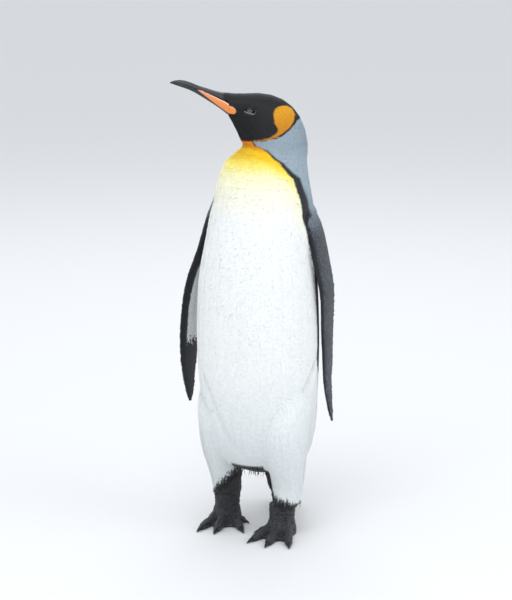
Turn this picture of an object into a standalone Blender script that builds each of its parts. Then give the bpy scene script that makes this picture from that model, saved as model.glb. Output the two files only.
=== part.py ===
"""King penguin: a still, life-size standing figure in solid pieces.

The bird stands upright on both feet and faces -Y, with its own left towards +X.
Its head is turned most of the way to its right, bill raised. Sizes are in metres.
The body is one smooth loft, from the belly up through the neck to the face, parted
by thin level cuts. Limbs and tail are lofts of their own, trimmed where they meet it.
"""
import math
from collections import namedtuple

import bmesh
import bpy
import numpy as np
from mathutils import Matrix, Vector

# ---------------------------------------------------------------- driving dimensions
GAP = 0.0003                  # clearance between pieces that touch
NECK_CUT = 0.655              # height of the cut between trunk and neck
HEAD_CUT = 0.742              # height of the cut between neck and head
HEAD_TURN = 70.0              # degrees the head looks round to the bird's right
NECK_AXIS = (0.015, 0.050)    # x and y of the upright line that the head turns on
BILL_START = 0.0905           # reach from the neck axis to the root of the bill
BODY_SEGMENTS = 32
BODY_RINGS = 49

# Trunk and neck, from under the belly upwards. All sections lie level.
TrunkSection = namedtuple("TrunkSection", "height x front back half_width turn")
TRUNK = [
    TrunkSection(0.112, 0.004, -0.018, 0.060, 0.030, 0),
    TrunkSection(0.119, 0.004, -0.042, 0.086, 0.060, 0),
    TrunkSection(0.140, 0.004, -0.070, 0.106, 0.083, 0),
    TrunkSection(0.175, 0.003, -0.094, 0.118, 0.098, 0),
    TrunkSection(0.220, 0.002, -0.110, 0.123, 0.107, 0),
    TrunkSection(0.275, 0.000, -0.120, 0.122, 0.1125, 0),
    TrunkSection(0.340, 0.000, -0.126, 0.119, 0.1165, 0),
    TrunkSection(0.430, 0.000, -0.127, 0.116, 0.1165, 0),
    TrunkSection(0.510, 0.000, -0.121, 0.114, 0.112, 0),
    TrunkSection(0.570, 0.002, -0.110, 0.112, 0.104, 0),
    TrunkSection(0.614, 0.004, -0.098, 0.109, 0.099, 0),
    TrunkSection(0.647, 0.005, -0.087, 0.107, 0.0935, 5),
    TrunkSection(0.676, 0.003, -0.075, 0.106, 0.0870, 24),
    TrunkSection(0.702, 0.002, -0.058, 0.109, 0.0770, 46),
    TrunkSection(0.722, 0.004, -0.037, 0.114, 0.0650, 62),
]
# Neck top and head. Reach is measured forwards from the neck axis, the way the head
# looks; tilt is how far a section leans back from level.
HeadSection = namedtuple("HeadSection", "reach height half_width half_depth tilt")
HEAD = [
    HeadSection(-0.0005, 0.7375, 0.0575, 0.0628, -4),
    HeadSection(0.0031, 0.7596, 0.0520, 0.0625, 9),
    HeadSection(0.0105, 0.7784, 0.0440, 0.0616, 18),
    HeadSection(0.0232, 0.7971, 0.0375, 0.0571, 27),
    HeadSection(0.0399, 0.8118, 0.0320, 0.0490, 33),
    HeadSection(0.0561, 0.8205, 0.0280, 0.0388, 38),
    HeadSection(0.0723, 0.8243, 0.0240, 0.0297, 42),
    HeadSection(0.0895, 0.8273, 0.0190, 0.0217, 49),
    HeadSection(0.1086, 0.8338, 0.0140, 0.0160, 52),
]
# Bill, root to tip: heights of the lower keel, the line of the gape and the ridge.
BillSection = namedtuple("BillSection", "reach keel gape ridge half_width")
BILL = [
    BillSection(0.0908, 0.8028, 0.8290, 0.8453, 0.0172),
    BillSection(0.1019, 0.8118, 0.8347, 0.8464, 0.0148),
    BillSection(0.1152, 0.8212, 0.8409, 0.8495, 0.0122),
    BillSection(0.1305, 0.8311, 0.8460, 0.8543, 0.0100),
    BillSection(0.1457, 0.8407, 0.8505, 0.8589, 0.0082),
    BillSection(0.1628, 0.8500, 0.8566, 0.8658, 0.0067),
    BillSection(0.1799, 0.8562, 0.8620, 0.8700, 0.0051),
    BillSection(0.1952, 0.8614, 0.8641, 0.8681, 0.0030),
    BillSection(0.2015, 0.8637, 0.8645, 0.8655, 0.0013),
]
EYE_REACH = 0.0485
EYE_HEIGHT = 0.8133
EYE_ACROSS = 0.0222           # from the head's middle plane to the eyeball's centre
EYE_RADIUS = 0.0100

# Flippers: fore and aft edges at each drop below the shoulder.
FlipperSection = namedtuple("FlipperSection", "drop lead trail thickness")
FLIPPER = [
    FlipperSection(0.000, 0.004, 0.040, 0.0120),
    FlipperSection(0.020, -0.008, 0.056, 0.0190),
    FlipperSection(0.045, -0.018, 0.066, 0.0190),
    FlipperSection(0.105, -0.018, 0.077, 0.0160),
    FlipperSection(0.165, -0.009, 0.083, 0.0135),
    FlipperSection(0.225, 0.005, 0.088, 0.0120),
    FlipperSection(0.285, 0.021, 0.091, 0.0105),
    FlipperSection(0.335, 0.038, 0.092, 0.0090),
    FlipperSection(0.378, 0.055, 0.091, 0.0075),
    FlipperSection(0.405, 0.068, 0.089, 0.0060),
    FlipperSection(0.418, 0.077, 0.084, 0.0040),
]
# How far each flipper stands out sideways at those drops, at its fore edge.
LEFT_REACH = [0.086, 0.100, 0.1085, 0.1205, 0.129, 0.126, 0.1232, 0.120, 0.1208, 0.122, 0.123]
RIGHT_REACH = [0.080, 0.092, 0.099, 0.119, 0.1455, 0.162, 0.1722, 0.177, 0.1775, 0.176, 0.1755]
LEFT_SHOULDER = 0.640         # height of the top of each flipper
RIGHT_SHOULDER = 0.655
STRETCH = 1.05                # a hanging flipper's length over the drops above
LEFT_TWIST = 3.0              # degrees the aft edge turns in towards the body
RIGHT_TWIST = 13.0
FLIPPER_SEGMENTS = 16

# Feathered legs, from inside the trunk down to the bare shank. x grows outwards.
LegSection = namedtuple("LegSection", "height x y half_width half_depth")
LEG = [
    LegSection(0.315, 0.058, -0.018, 0.038, 0.048),
    LegSection(0.260, 0.066, -0.028, 0.045, 0.060),
    LegSection(0.205, 0.0675, -0.032, 0.0425, 0.058),
    LegSection(0.155, 0.0705, -0.024, 0.0385, 0.048),
    LegSection(0.115, 0.0715, -0.013, 0.0325, 0.038),
    LegSection(0.085, 0.0710, -0.007, 0.0290, 0.032),
    LegSection(0.060, 0.0700, -0.005, 0.0275, 0.030),
]
STANCE_TOP = 0.28             # the stride fades out towards this height
LEFT_STRIDE = -0.030          # shift along y of each ankle, forwards being -y
RIGHT_STRIDE = 0.018
LEFT_ANKLE_X = 0.060
RIGHT_ANKLE_X = -0.071

# Feet: a shank and heel, three webbed toes and a small hind toe, each with a claw.
SHANK_TOP = 0.060
LIMB_SEGMENTS = 20
ShankSection = namedtuple("ShankSection", "height y half_width half_depth")
SHANK = [
    ShankSection(SHANK_TOP - GAP, -0.004, 0.0250, 0.0255),
    ShankSection(0.044, -0.004, 0.0250, 0.0255),
    ShankSection(0.032, -0.005, 0.0245, 0.0265),
    ShankSection(0.020, -0.008, 0.0265, 0.0330),
    ShankSection(0.008, -0.010, 0.0285, 0.0390),
    ShankSection(-0.004, -0.010, 0.0280, 0.0390),
]
# The toes run forwards, turned outwards by their spread in degrees. x grows outwards.
Toe = namedtuple("Toe", "name length radius root_x")
TOES = [
    Toe("outer", 0.080, 0.0088, 0.014),
    Toe("middle", 0.083, 0.0094, 0.000),
    Toe("inner", 0.071, 0.0088, -0.014),
]
HIND_TOE = Toe("hind", 0.026, 0.0062, -0.020)
LEFT_SPREAD = {"outer": 21.0, "middle": 2.0, "inner": -16.0, "hind": -58.0}
RIGHT_SPREAD = {"outer": 6.0, "middle": -7.0, "inner": -34.0, "hind": -72.0}
WEB_REACH = 0.70              # share of a toe's length that the web joins
WEB_THICKNESS = 0.0050
WEB_DIP = 0.90                # how far the web's edge runs back between two toes
CLAW_LENGTH = 0.018
HIND_CLAW_LENGTH = 0.009

# Tail: from inside the rump down to just off the floor, widths across and through.
TailSection = namedtuple("TailSection", "x y height half_width half_thickness")
TAIL = [
    TailSection(0.000, 0.066, 0.172, 0.046, 0.032),
    TailSection(0.000, 0.100, 0.133, 0.046, 0.022),
    TailSection(-0.003, 0.127, 0.096, 0.042, 0.014),
    TailSection(-0.007, 0.148, 0.060, 0.037, 0.0085),
    TailSection(-0.011, 0.163, 0.030, 0.031, 0.0052),
    TailSection(-0.014, 0.172, 0.010, 0.019, 0.0030),
]

# ---------------------------------------------------------------- scene and materials
for old in list(bpy.data.objects):
    bpy.data.objects.remove(old, do_unlink=True)

figure = bpy.data.collections.new("king_penguin")
bpy.context.scene.collection.children.link(figure)
cutters = bpy.data.collections.new("cutters")
bpy.context.scene.collection.children.link(cutters)
stand_point = bpy.data.objects.new("stand_point", None)
figure.objects.link(stand_point)
UPWARDS = Vector((0, 0, 1))


def finish(name, colour, roughness, coat=0.0):
    """A Principled material in one plain colour."""
    material = bpy.data.materials.new(name)
    material.use_nodes = True
    shader = material.node_tree.nodes["Principled BSDF"]
    shader.inputs["Base Color"].default_value = (*colour, 1.0)
    shader.inputs["Roughness"].default_value = roughness
    shader.inputs["Coat Weight"].default_value = coat
    return material


WHITE_PLUMAGE = finish("white_plumage", (0.80, 0.82, 0.80), 0.85)
GREY_PLUMAGE = finish("grey_plumage", (0.33, 0.40, 0.46), 0.85)
BLACK_PLUMAGE = finish("black_plumage", (0.016, 0.016, 0.018), 0.75)
SLATE_PLUMAGE = finish("slate_plumage", (0.045, 0.050, 0.060), 0.80)
HORN = finish("horn", (0.020, 0.020, 0.024), 0.35)
FOOT_SKIN = finish("foot_skin", (0.045, 0.045, 0.048), 0.70)
CLAW_HORN = finish("claw_horn", (0.018, 0.017, 0.017), 0.40)
EYE_GLOSS = finish("eye_gloss", (0.050, 0.026, 0.014), 0.08, coat=1.0)


# ---------------------------------------------------------------- lofting
def smooth_rows(rows, count):
    """Rows of numbers drawn out to count rows along a smooth curve through them all."""
    table = np.array([tuple(row) for row in rows], dtype=float)
    steps = np.linalg.norm(np.diff(table[:, :3], axis=0), axis=1)
    knots = np.concatenate(([0.0], np.cumsum(steps)))
    slopes = np.gradient(table, knots, axis=0)
    drawn = []
    for at in np.linspace(0.0, knots[-1], count):
        k = min(int(np.searchsorted(knots, at, side="right")) - 1, len(knots) - 2)
        span = knots[k + 1] - knots[k]
        t = (at - knots[k]) / span
        drawn.append((2 * t**3 - 3 * t**2 + 1) * table[k]
                     + (t**3 - 2 * t**2 + t) * span * slopes[k]
                     + (3 * t**2 - 2 * t**3) * table[k + 1]
                     + (t**3 - t**2) * span * slopes[k + 1])
    return drawn


def ellipse(centre, across, along, segments):
    """A ring of points; across and along are its two half axes as vectors."""
    angles = [2 * math.pi * i / segments for i in range(segments)]
    return [centre + across * math.sin(a) + along * math.cos(a) for a in angles]


def loft(name, rings):
    """A closed mesh through rings of equal count, with flat faces over both ends."""
    shell = bmesh.new()
    loops = [[shell.verts.new(point) for point in ring] for ring in rings]
    for lower, upper in zip(loops, loops[1:]):
        for i in range(len(lower)):
            j = (i + 1) % len(lower)
            shell.faces.new((lower[i], lower[j], upper[j], upper[i]))
    shell.faces.new(loops[0])
    shell.faces.new(loops[-1])
    return closed_mesh(name, shell)


def closed_mesh(name, shell):
    """Turn a bmesh's faces outwards and keep it as a smooth-shaded mesh."""
    bmesh.ops.recalc_face_normals(shell, faces=shell.faces)
    mesh = bpy.data.meshes.new(name)
    shell.to_mesh(mesh)
    shell.free()
    mesh.shade_smooth()
    return mesh


def place(name, mesh, material):
    """One named piece of the figure."""
    piece = bpy.data.objects.new(name, mesh)
    piece.data.materials.append(material)
    piece.parent = stand_point
    figure.objects.link(piece)
    return piece


def hide_cutter(name, mesh):
    """A shape that is only cut with or joined on, and isn't a piece itself."""
    cutter = bpy.data.objects.new(name, mesh)
    cutter.parent = stand_point
    cutter.hide_render = True
    cutter.display_type = "WIRE"
    cutters.objects.link(cutter)
    return cutter


def combine(piece, cutter, operation):
    """Cut the piece with the cutter, or join the cutter to it."""
    modifier = piece.modifiers.new(operation.lower(), "BOOLEAN")
    modifier.operation = operation
    modifier.solver = "EXACT"
    modifier.object = cutter


def swollen(name, mesh, by):
    """A copy of a mesh moved outwards along its normals."""
    shell = bmesh.new()
    shell.from_mesh(mesh)
    shell.normal_update()
    for vert in shell.verts:
        vert.co += vert.normal * by
    return closed_mesh(name, shell)


def slice_between(name, mesh, start, end):
    """The part of a mesh between two planes, each (point, direction) or None."""
    shell = bmesh.new()
    shell.from_mesh(mesh)
    for plane, sense in ((start, -1), (end, 1)):
        if plane is None:
            continue
        point, direction = plane
        geometry = shell.verts[:] + shell.edges[:] + shell.faces[:]
        cut = bmesh.ops.bisect_plane(shell, geom=geometry, dist=1e-6, plane_co=point,
                                     plane_no=direction * sense, clear_outer=True)
        rim = [item for item in cut["geom_cut"] if isinstance(item, bmesh.types.BMEdge)]
        bmesh.ops.contextual_create(shell, geom=rim)
    return closed_mesh(name, shell)


# ---------------------------------------------------------------- trunk, neck and head
def facing(turn):
    """The level direction that a part faces when it is turned to the bird's right."""
    angle = math.radians(turn)
    return Vector((-math.sin(angle), -math.cos(angle), 0.0))


def body_row(section):
    """A trunk or head section as centre, half sizes, turn and tilt."""
    if isinstance(section, TrunkSection):
        middle = (section.front + section.back) / 2
        depth = (section.back - section.front) / 2
        return (section.x, middle, section.height, section.half_width, depth, section.turn, 0.0)
    centre = Vector((*NECK_AXIS, 0.0)) + facing(HEAD_TURN) * section.reach
    return (centre.x, centre.y, section.height, section.half_width, section.half_depth,
            HEAD_TURN, section.tilt)


def body_ring(row):
    """One section of the loft: point 0 lies at its back, the rest follow round."""
    x, y, height, half_width, half_depth, turn, tilt = row
    forward = facing(turn)
    across = Vector((forward.y, -forward.x, 0.0))
    lean = math.radians(tilt)
    to_back = -forward * math.cos(lean) + UPWARDS * math.sin(lean)
    return ellipse(Vector((x, y, height)), across * half_width, to_back * half_depth,
                   BODY_SEGMENTS)


body_rows = smooth_rows([body_row(section) for section in TRUNK + HEAD], BODY_RINGS)
body = loft("whole_body", [body_ring(row) for row in body_rows])

head_forward = facing(HEAD_TURN)
head_across = Vector((head_forward.y, -head_forward.x, 0.0))
neck_axis = Vector((*NECK_AXIS, 0.0))
face_plane = neck_axis + head_forward * (BILL_START - GAP)

trunk = place("trunk", slice_between(
    "trunk", body, None, (UPWARDS * (NECK_CUT - GAP / 2), UPWARDS)), WHITE_PLUMAGE)
neck = place("neck", slice_between(
    "neck", body, (UPWARDS * (NECK_CUT + GAP / 2), UPWARDS),
    (UPWARDS * (HEAD_CUT - GAP / 2), UPWARDS)), GREY_PLUMAGE)
head = place("head", slice_between(
    "head", body, (UPWARDS * (HEAD_CUT + GAP / 2), UPWARDS),
    (face_plane, head_forward)), BLACK_PLUMAGE)
trunk_cutter = hide_cutter("trunk_clearance", swollen("trunk_clearance", trunk.data, 2 * GAP))


# ---------------------------------------------------------------- eyes
def ball(name, centre, radius):
    """An eyeball, or the hollow that it sits in."""
    shell = bmesh.new()
    bmesh.ops.create_uvsphere(shell, u_segments=14, v_segments=8, radius=radius,
                              matrix=Matrix.Translation(centre))
    return closed_mesh(name, shell)


for side, sign in (("left", -1), ("right", 1)):
    eye_centre = neck_axis + head_forward * EYE_REACH + head_across * (sign * EYE_ACROSS)
    eye_centre.z = EYE_HEIGHT
    place(f"eye_{side}", ball(f"eye_{side}", eye_centre, EYE_RADIUS), EYE_GLOSS)
    socket = ball(f"socket_{side}", eye_centre, EYE_RADIUS + 2 * GAP)
    combine(head, hide_cutter(f"socket_{side}", socket), "DIFFERENCE")


# ---------------------------------------------------------------- bill
def bill_ring(row, upper):
    """Half an ellipse over or under the gape, closed by a flat at the gape itself."""
    reach, keel, gape, ridge, half_width = row
    middle = neck_axis + head_forward * reach
    base = gape + GAP / 2 if upper else gape - GAP / 2
    rise = ridge - base if upper else keel - base
    arc = [math.radians(a) for a in range(-90, 91, 18)]
    flat = [half_width * share for share in (0.5, 0.0, -0.5)]
    points = [(half_width * math.sin(a), base + rise * math.cos(a)) for a in arc]
    points += [(across, base) for across in flat]
    return [Vector((middle.x, middle.y, z)) + head_across * across for across, z in points]


bill_rows = smooth_rows(BILL, 14)
for name, upper in (("bill_upper", True), ("bill_lower", False)):
    place(name, loft(name, [bill_ring(row, upper) for row in bill_rows]), HORN)


# ---------------------------------------------------------------- flippers
def flipper_mesh(name, sign, shoulder, reaches, twist):
    """A blade hung from the shoulder, thick at its fore edge and thin at its aft one."""
    turn_in = math.tan(math.radians(twist))
    rings = []
    rows = [tuple(section) + (reach,) for section, reach in zip(FLIPPER, reaches)]
    for drop, lead, trail, thickness, reach in smooth_rows(rows, 20):
        ring = []
        for i in range(FLIPPER_SEGMENTS):
            angle = 2 * math.pi * i / FLIPPER_SEGMENTS
            share = (1 - math.cos(angle)) / 2
            swell = math.sin(angle) * (1.25 - 0.75 * share)
            y = lead + (trail - lead) * share
            x = reach - (y - lead) * turn_in + swell * thickness / 2
            ring.append(Vector((sign * x, y, shoulder - drop * STRETCH)))
        rings.append(ring)
    return loft(name, rings)


flippers = (("left", 1, LEFT_SHOULDER, LEFT_REACH, LEFT_TWIST),
            ("right", -1, RIGHT_SHOULDER, RIGHT_REACH, RIGHT_TWIST))
for side, *shape in flippers:
    flipper = place(f"flipper_{side}", flipper_mesh(f"flipper_{side}", *shape), SLATE_PLUMAGE)
    combine(flipper, trunk_cutter, "DIFFERENCE")


# ---------------------------------------------------------------- tail
def tail_ring(row, ahead):
    """A section of the tail, square to its run towards the next one."""
    centre = Vector(row[:3])
    half_width, half_thickness = row[3:]
    run = (Vector(ahead[:3]) - centre).normalized()
    through = run.cross(Vector((1, 0, 0))).normalized()
    return ellipse(centre, Vector((half_width, 0, 0)), through * half_thickness, 14)


tail_rows = smooth_rows(TAIL, 14)
tail_ahead = tail_rows[1:] + [2 * tail_rows[-1] - tail_rows[-2]]
tail_rings = [tail_ring(row, ahead) for row, ahead in zip(tail_rows, tail_ahead)]
tail = place("tail", loft("tail", tail_rings), SLATE_PLUMAGE)
combine(tail, trunk_cutter, "DIFFERENCE")


# ---------------------------------------------------------------- legs
def leg_mesh(name, sign, stride):
    """A feathered leg, carried forwards or back by its stride towards the ankle."""
    rings = []
    for height, x, y, half_width, half_depth in smooth_rows(LEG, 16):
        share = min(1.0, (STANCE_TOP - min(height, STANCE_TOP)) / (STANCE_TOP - SHANK_TOP))
        centre = Vector((sign * x, y + stride * share, height))
        rings.append(ellipse(centre, Vector((half_width, 0, 0)),
                             Vector((0, half_depth, 0)), LIMB_SEGMENTS))
    return loft(name, rings)


for side, sign, stride in (("left", 1, LEFT_STRIDE), ("right", -1, RIGHT_STRIDE)):
    leg = place(f"leg_{side}", leg_mesh(f"leg_{side}", sign, stride), WHITE_PLUMAGE)
    combine(leg, trunk_cutter, "DIFFERENCE")


# ---------------------------------------------------------------- feet and claws
def toe_points(ankle, toe, sign, spread):
    """Centres and radii down a toe: knuckle, dip, second knuckle, blunt end."""
    angle = math.radians(spread)
    ahead = Vector((sign * math.sin(angle), -math.cos(angle), 0.0))
    root = ankle + Vector((sign * toe.root_x, -0.012, 0.0))
    stations = [(0.00, 1.05, 0.0150), (0.30, 1.10, 0.0125), (0.52, 0.90, 0.0085),
                (0.70, 1.00, 0.0078), (0.86, 0.86, 0.0062), (1.00, 0.62, 0.0055)]
    points = [(root + ahead * (toe.length * share) + UPWARDS * height, toe.radius * size)
              for share, size, height in stations]
    return points, ahead


def toe_mesh(name, points, ahead):
    """A toe lofted through its knuckles."""
    across = ahead.cross(UPWARDS)
    rings = [ellipse(centre, across * radius, UPWARDS * radius, 10)
             for centre, radius in points]
    return loft(name, rings)


def claw_mesh(name, start, ahead, radius, length):
    """A curved cone, wider than deep, bending down to a blunt point."""
    across = ahead.cross(UPWARDS)
    rings = []
    for share in (0.0, 0.35, 0.7, 1.0):
        size = radius * (1.0 - 0.84 * share ** 1.4)
        sink = (start.z - 0.0017) * share ** 1.6
        centre = start + ahead * (GAP + length * share) - UPWARDS * sink
        rings.append(ellipse(centre, across * size, UPWARDS * size * 0.8, 7))
    return loft(name, rings)


def web_mesh(name, ankle, toe_lines):
    """The skin between the toes, a flat sheet with its edge scooped between them."""
    joined = [points[0][0].lerp(points[-1][0], WEB_REACH) for points, _ in toe_lines]
    outline = [ankle + Vector((0, 0.010, 0)), joined[0]]
    for near, far in zip(joined, joined[1:]):
        outline += [ankle.lerp((near + far) / 2, WEB_DIP), far]
    shell = bmesh.new()
    sheet = shell.faces.new([shell.verts.new((p.x, p.y, 0.0015)) for p in outline])
    grown = bmesh.ops.extrude_face_region(shell, geom=[sheet])["geom"]
    top = [item for item in grown if isinstance(item, bmesh.types.BMVert)]
    bmesh.ops.translate(shell, verts=top, vec=(0, 0, WEB_THICKNESS))
    return closed_mesh(name, shell)


def shank_mesh(name, ankle):
    """The bare shank, widening into the heel and instep."""
    rings = []
    for height, y, half_width, half_depth in smooth_rows(SHANK, 9):
        centre = ankle + Vector((0, y, height))
        rings.append(ellipse(centre, Vector((half_width, 0, 0)),
                             Vector((0, half_depth, 0)), LIMB_SEGMENTS))
    return loft(name, rings)


floor_block = bmesh.new()
bmesh.ops.create_cube(floor_block, size=1.0, matrix=Matrix.Translation((0, 0, -0.5)))
floor_cutter = hide_cutter("floor_block", closed_mesh("floor_block", floor_block))

feet = (("left", 1, Vector((LEFT_ANKLE_X, LEFT_STRIDE, 0.0)), LEFT_SPREAD),
        ("right", -1, Vector((RIGHT_ANKLE_X, RIGHT_STRIDE, 0.0)), RIGHT_SPREAD))
for side, sign, ankle, spread in feet:
    foot = place(f"foot_{side}", shank_mesh(f"foot_{side}", ankle), FOOT_SKIN)
    toe_lines = [toe_points(ankle, toe, sign, spread[toe.name]) for toe in TOES]
    hind_line = toe_points(ankle, HIND_TOE, sign, spread["hind"])
    for toe, (points, ahead) in zip(TOES + [HIND_TOE], toe_lines + [hind_line]):
        name = f"toe_{side}_{toe.name}"
        combine(foot, hide_cutter(name, toe_mesh(name, points, ahead)), "UNION")
        end, end_radius = points[-1]
        length = HIND_CLAW_LENGTH if toe is HIND_TOE else CLAW_LENGTH
        claw = f"claw_{side}_{toe.name}"
        place(claw, claw_mesh(claw, end, ahead, end_radius * 0.9, length), CLAW_HORN)
    web = web_mesh(f"web_{side}", ankle, toe_lines)
    combine(foot, hide_cutter(f"web_{side}", web), "UNION")
    combine(foot, floor_cutter, "DIFFERENCE")


# ---------------------------------------------------------------- origin
def centre_on_floor():
    """Shift the figure so its origin is the middle of the floor under its extremes."""
    bpy.context.view_layer.update()
    depsgraph = bpy.context.evaluated_depsgraph_get()
    spots = []
    for piece in figure.objects:
        if piece.type == "MESH":
            shape = piece.evaluated_get(depsgraph)
            spots += [piece.matrix_world @ Vector(corner) for corner in shape.bound_box]
    for axis in (0, 1):
        values = [spot[axis] for spot in spots]
        stand_point.location[axis] -= (min(values) + max(values)) / 2


centre_on_floor()
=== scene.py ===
# %% [markdown]
# # A life-size king penguin
# A museum model of a king penguin is built here from the inside out, the way a taxidermist works:
# first one skin over the whole body, then bill, eyes and claws of horn and glass, and last the
# plumage, some sixty thousand small feathers laid one over the other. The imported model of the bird
# is loaded first. Its solids reach out to the tips of the feathers, so every size below is taken
# from them.

# %% Load the frame
import math
import time

import bmesh
import bpy
import numpy as np
import mathutils
from mathutils import Matrix, Vector
from mathutils.bvhtree import BVHTree
from mathutils.kdtree import KDTree


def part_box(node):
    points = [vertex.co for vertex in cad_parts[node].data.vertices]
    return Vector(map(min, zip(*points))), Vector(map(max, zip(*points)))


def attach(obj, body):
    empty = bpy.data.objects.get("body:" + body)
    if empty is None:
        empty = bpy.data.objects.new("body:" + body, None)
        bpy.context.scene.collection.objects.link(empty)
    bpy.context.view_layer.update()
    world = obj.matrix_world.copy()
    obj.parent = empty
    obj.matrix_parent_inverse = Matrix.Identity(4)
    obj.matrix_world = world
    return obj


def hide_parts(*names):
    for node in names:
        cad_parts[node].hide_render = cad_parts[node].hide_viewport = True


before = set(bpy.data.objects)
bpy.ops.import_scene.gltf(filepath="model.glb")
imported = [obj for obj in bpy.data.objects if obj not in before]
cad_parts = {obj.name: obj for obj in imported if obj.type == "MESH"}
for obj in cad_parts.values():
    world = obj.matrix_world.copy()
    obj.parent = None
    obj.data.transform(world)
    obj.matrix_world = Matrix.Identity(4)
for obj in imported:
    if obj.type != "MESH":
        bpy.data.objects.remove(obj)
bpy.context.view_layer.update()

START = time.time()
UP = Vector((0, 0, 1))
MM = 0.001


# %% [markdown]
# ## Camera, floor and light
# The bird is seen from a little to its left and from a little above, through a long lens, which
# keeps its proportions true. A wide pale floor catches a soft shadow. Big area lights from above and
# from both sides act like an overcast sky, so that white feathers keep their shape without glare.

# %% The camera
VIEW_AZIMUTH = math.radians(20)
VIEW_ELEVATION = math.radians(12)
VIEW_DISTANCE = 5.0
LENS = 156.0
AIM = Vector((0.0173, -0.0177, 0.450))


def looking_from(azimuth, elevation, distance):
    """The place at a distance from the aim. Azimuth 0 is in front of the bird."""
    level = Vector((math.sin(azimuth), -math.cos(azimuth), 0)) * math.cos(elevation)
    return AIM + (level + UP * math.sin(elevation)) * distance


def aim_at_bird(thing, place):
    """Puts a camera or lamp at a place, looking at the aim."""
    thing.location = place
    thing.rotation_euler = (AIM - place).to_track_quat("-Z", "Y").to_euler()
    bpy.context.scene.collection.objects.link(thing)


lens = bpy.data.cameras.new("camera")
lens.lens = LENS
camera = bpy.data.objects.new("camera", lens)
aim_at_bird(camera, looking_from(VIEW_AZIMUTH, VIEW_ELEVATION, VIEW_DISTANCE))
bpy.context.scene.camera = camera
bpy.context.scene.view_settings.view_transform = "Standard"
print("the camera stands", round(camera.location.z, 2), "m above the floor")


# %% [markdown]
# ## Lamps and sky
# Plumage shows its form through broad soft light: a big key lamp from the front, a weaker one from
# the side and one from behind that parts the dark back from the floor. Small lamps would put a hard
# shadow behind every feather, so the lamps are two metres wide and the sky does most of the work.

# %% Lamps and sky
def soft_lamp(name, azimuth, elevation, distance, size, watts):
    """A square area lamp that looks at the bird."""
    light = bpy.data.lights.new(name, "AREA")
    light.size = size
    light.energy = watts
    lamp = bpy.data.objects.new(name, light)
    aim_at_bird(lamp, looking_from(math.radians(azimuth), math.radians(elevation), distance))


soft_lamp("key_lamp", 5, 55, 3.6, 2.2, 48)
soft_lamp("side_lamp", 80, 35, 3.6, 2.0, 22)
soft_lamp("back_lamp", 200, 45, 3.6, 2.0, 30)
sky = bpy.data.worlds.new("studio")
sky.use_nodes = True
sky.node_tree.nodes["Background"].inputs["Color"].default_value = (0.90, 0.93, 0.97, 1)
sky.node_tree.nodes["Background"].inputs["Strength"].default_value = 1.0
bpy.context.scene.world = sky


# %% [markdown]
# ## Helpers for materials
# Every finish below is made of shader nodes. A few short functions keep that readable: one turns a
# colour as a screen shows it into the linear light that Blender works in, one adds a node and joins
# its inputs, and one starts a material.

# %% Colours and nodes
def linear(red, green, blue):
    """A screen colour of 0 to 255 as linear light."""
    shares = np.array((red, green, blue)) / 255
    return np.where(shares < 0.04045, shares / 12.92, ((shares + 0.055) / 1.055) ** 2.4)


def add(tree, kind, settings=None, **inputs):
    """A shader node. An input is a value, or another node's output to join to it."""
    node = tree.nodes.new("ShaderNode" + kind)
    for name, value in (settings or {}).items():
        setattr(node, name, value)
    for name, value in inputs.items():
        socket = node.inputs[int(name[1:])] if name[1:].isdigit() else node.inputs[name.replace("_", " ")]
        if isinstance(value, bpy.types.NodeSocket):
            tree.links.new(value, socket)
        elif isinstance(value, (int, float)):
            socket.default_value = value
        else:
            socket.default_value = (*value, 1) if len(value) < len(socket.default_value) else value
    return node


def principled(name):
    """A new material and its Principled shader."""
    material = bpy.data.materials.new(name)
    material.use_nodes = True
    return material, material.node_tree.nodes["Principled BSDF"]


floor_paper, shader = principled("floor_paper")
grain = add(floor_paper.node_tree, "TexNoise", Scale=90.0, Detail=4.0)
dent = add(floor_paper.node_tree, "Bump", Height=grain.outputs["Fac"], Strength=0.04, Distance=0.002)
floor_paper.node_tree.links.new(dent.outputs["Normal"], shader.inputs["Normal"])
shader.inputs["Base Color"].default_value = (0.72, 0.725, 0.73, 1)
shader.inputs["Roughness"].default_value = 0.85
FLOOR_RADIUS = 14.0
disc = bmesh.new()
bmesh.ops.create_circle(disc, cap_ends=True, segments=96, radius=FLOOR_RADIUS)
floor_mesh = bpy.data.meshes.new("floor")
disc.to_mesh(floor_mesh)
disc.free()
floor_mesh.materials.append(floor_paper)
floor = bpy.data.objects.new("floor", floor_mesh)
bpy.context.scene.collection.objects.link(floor)


# %% [markdown]
# ## Landmarks
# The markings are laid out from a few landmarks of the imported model. The two eyes give the head's
# own directions: forwards along the bill, and sideways. Level slices through trunk and neck give
# the middle of the body at each height. A point's place round the body is an angle about that
# middle, counted from straight in front.

# %% The head's directions and the body's middle
def box_middle(node):
    low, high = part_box(node)
    return (low + high) / 2


def points_of(node):
    """A CAD node's corners as an array."""
    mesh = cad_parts[node].data
    places = np.empty(len(mesh.vertices) * 3)
    mesh.vertices.foreach_get("co", places)
    return places.reshape(-1, 3)


left_eye, right_eye = box_middle("eye_left"), box_middle("eye_right")
HEAD_LEFT = (left_eye - right_eye).normalized()
HEAD_FRONT = HEAD_LEFT.cross(UP).normalized()
EYE_RADIUS = (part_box("eye_left")[1].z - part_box("eye_left")[0].z) / 2
EYE_REACH = 48.5 * MM
NECK_MIDDLE = (left_eye + right_eye) / 2 - HEAD_FRONT * EYE_REACH
NECK_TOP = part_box("head")[0].z

SLICE = 0.012
torso = np.concatenate([points_of(name) for name in ("trunk", "neck", "head")])
levels = np.arange(0.14, 0.78, SLICE)
slices = [torso[abs(torso[:, 2] - level) < SLICE] for level in levels]
middles = np.array([(cut.min(axis=0) + cut.max(axis=0)) / 2 for cut in slices])
radii = np.array([np.ptp(cut[:, :2], axis=0).mean() / 2 for cut in slices])
print("the head looks towards", [round(part, 2) for part in HEAD_FRONT])


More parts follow.
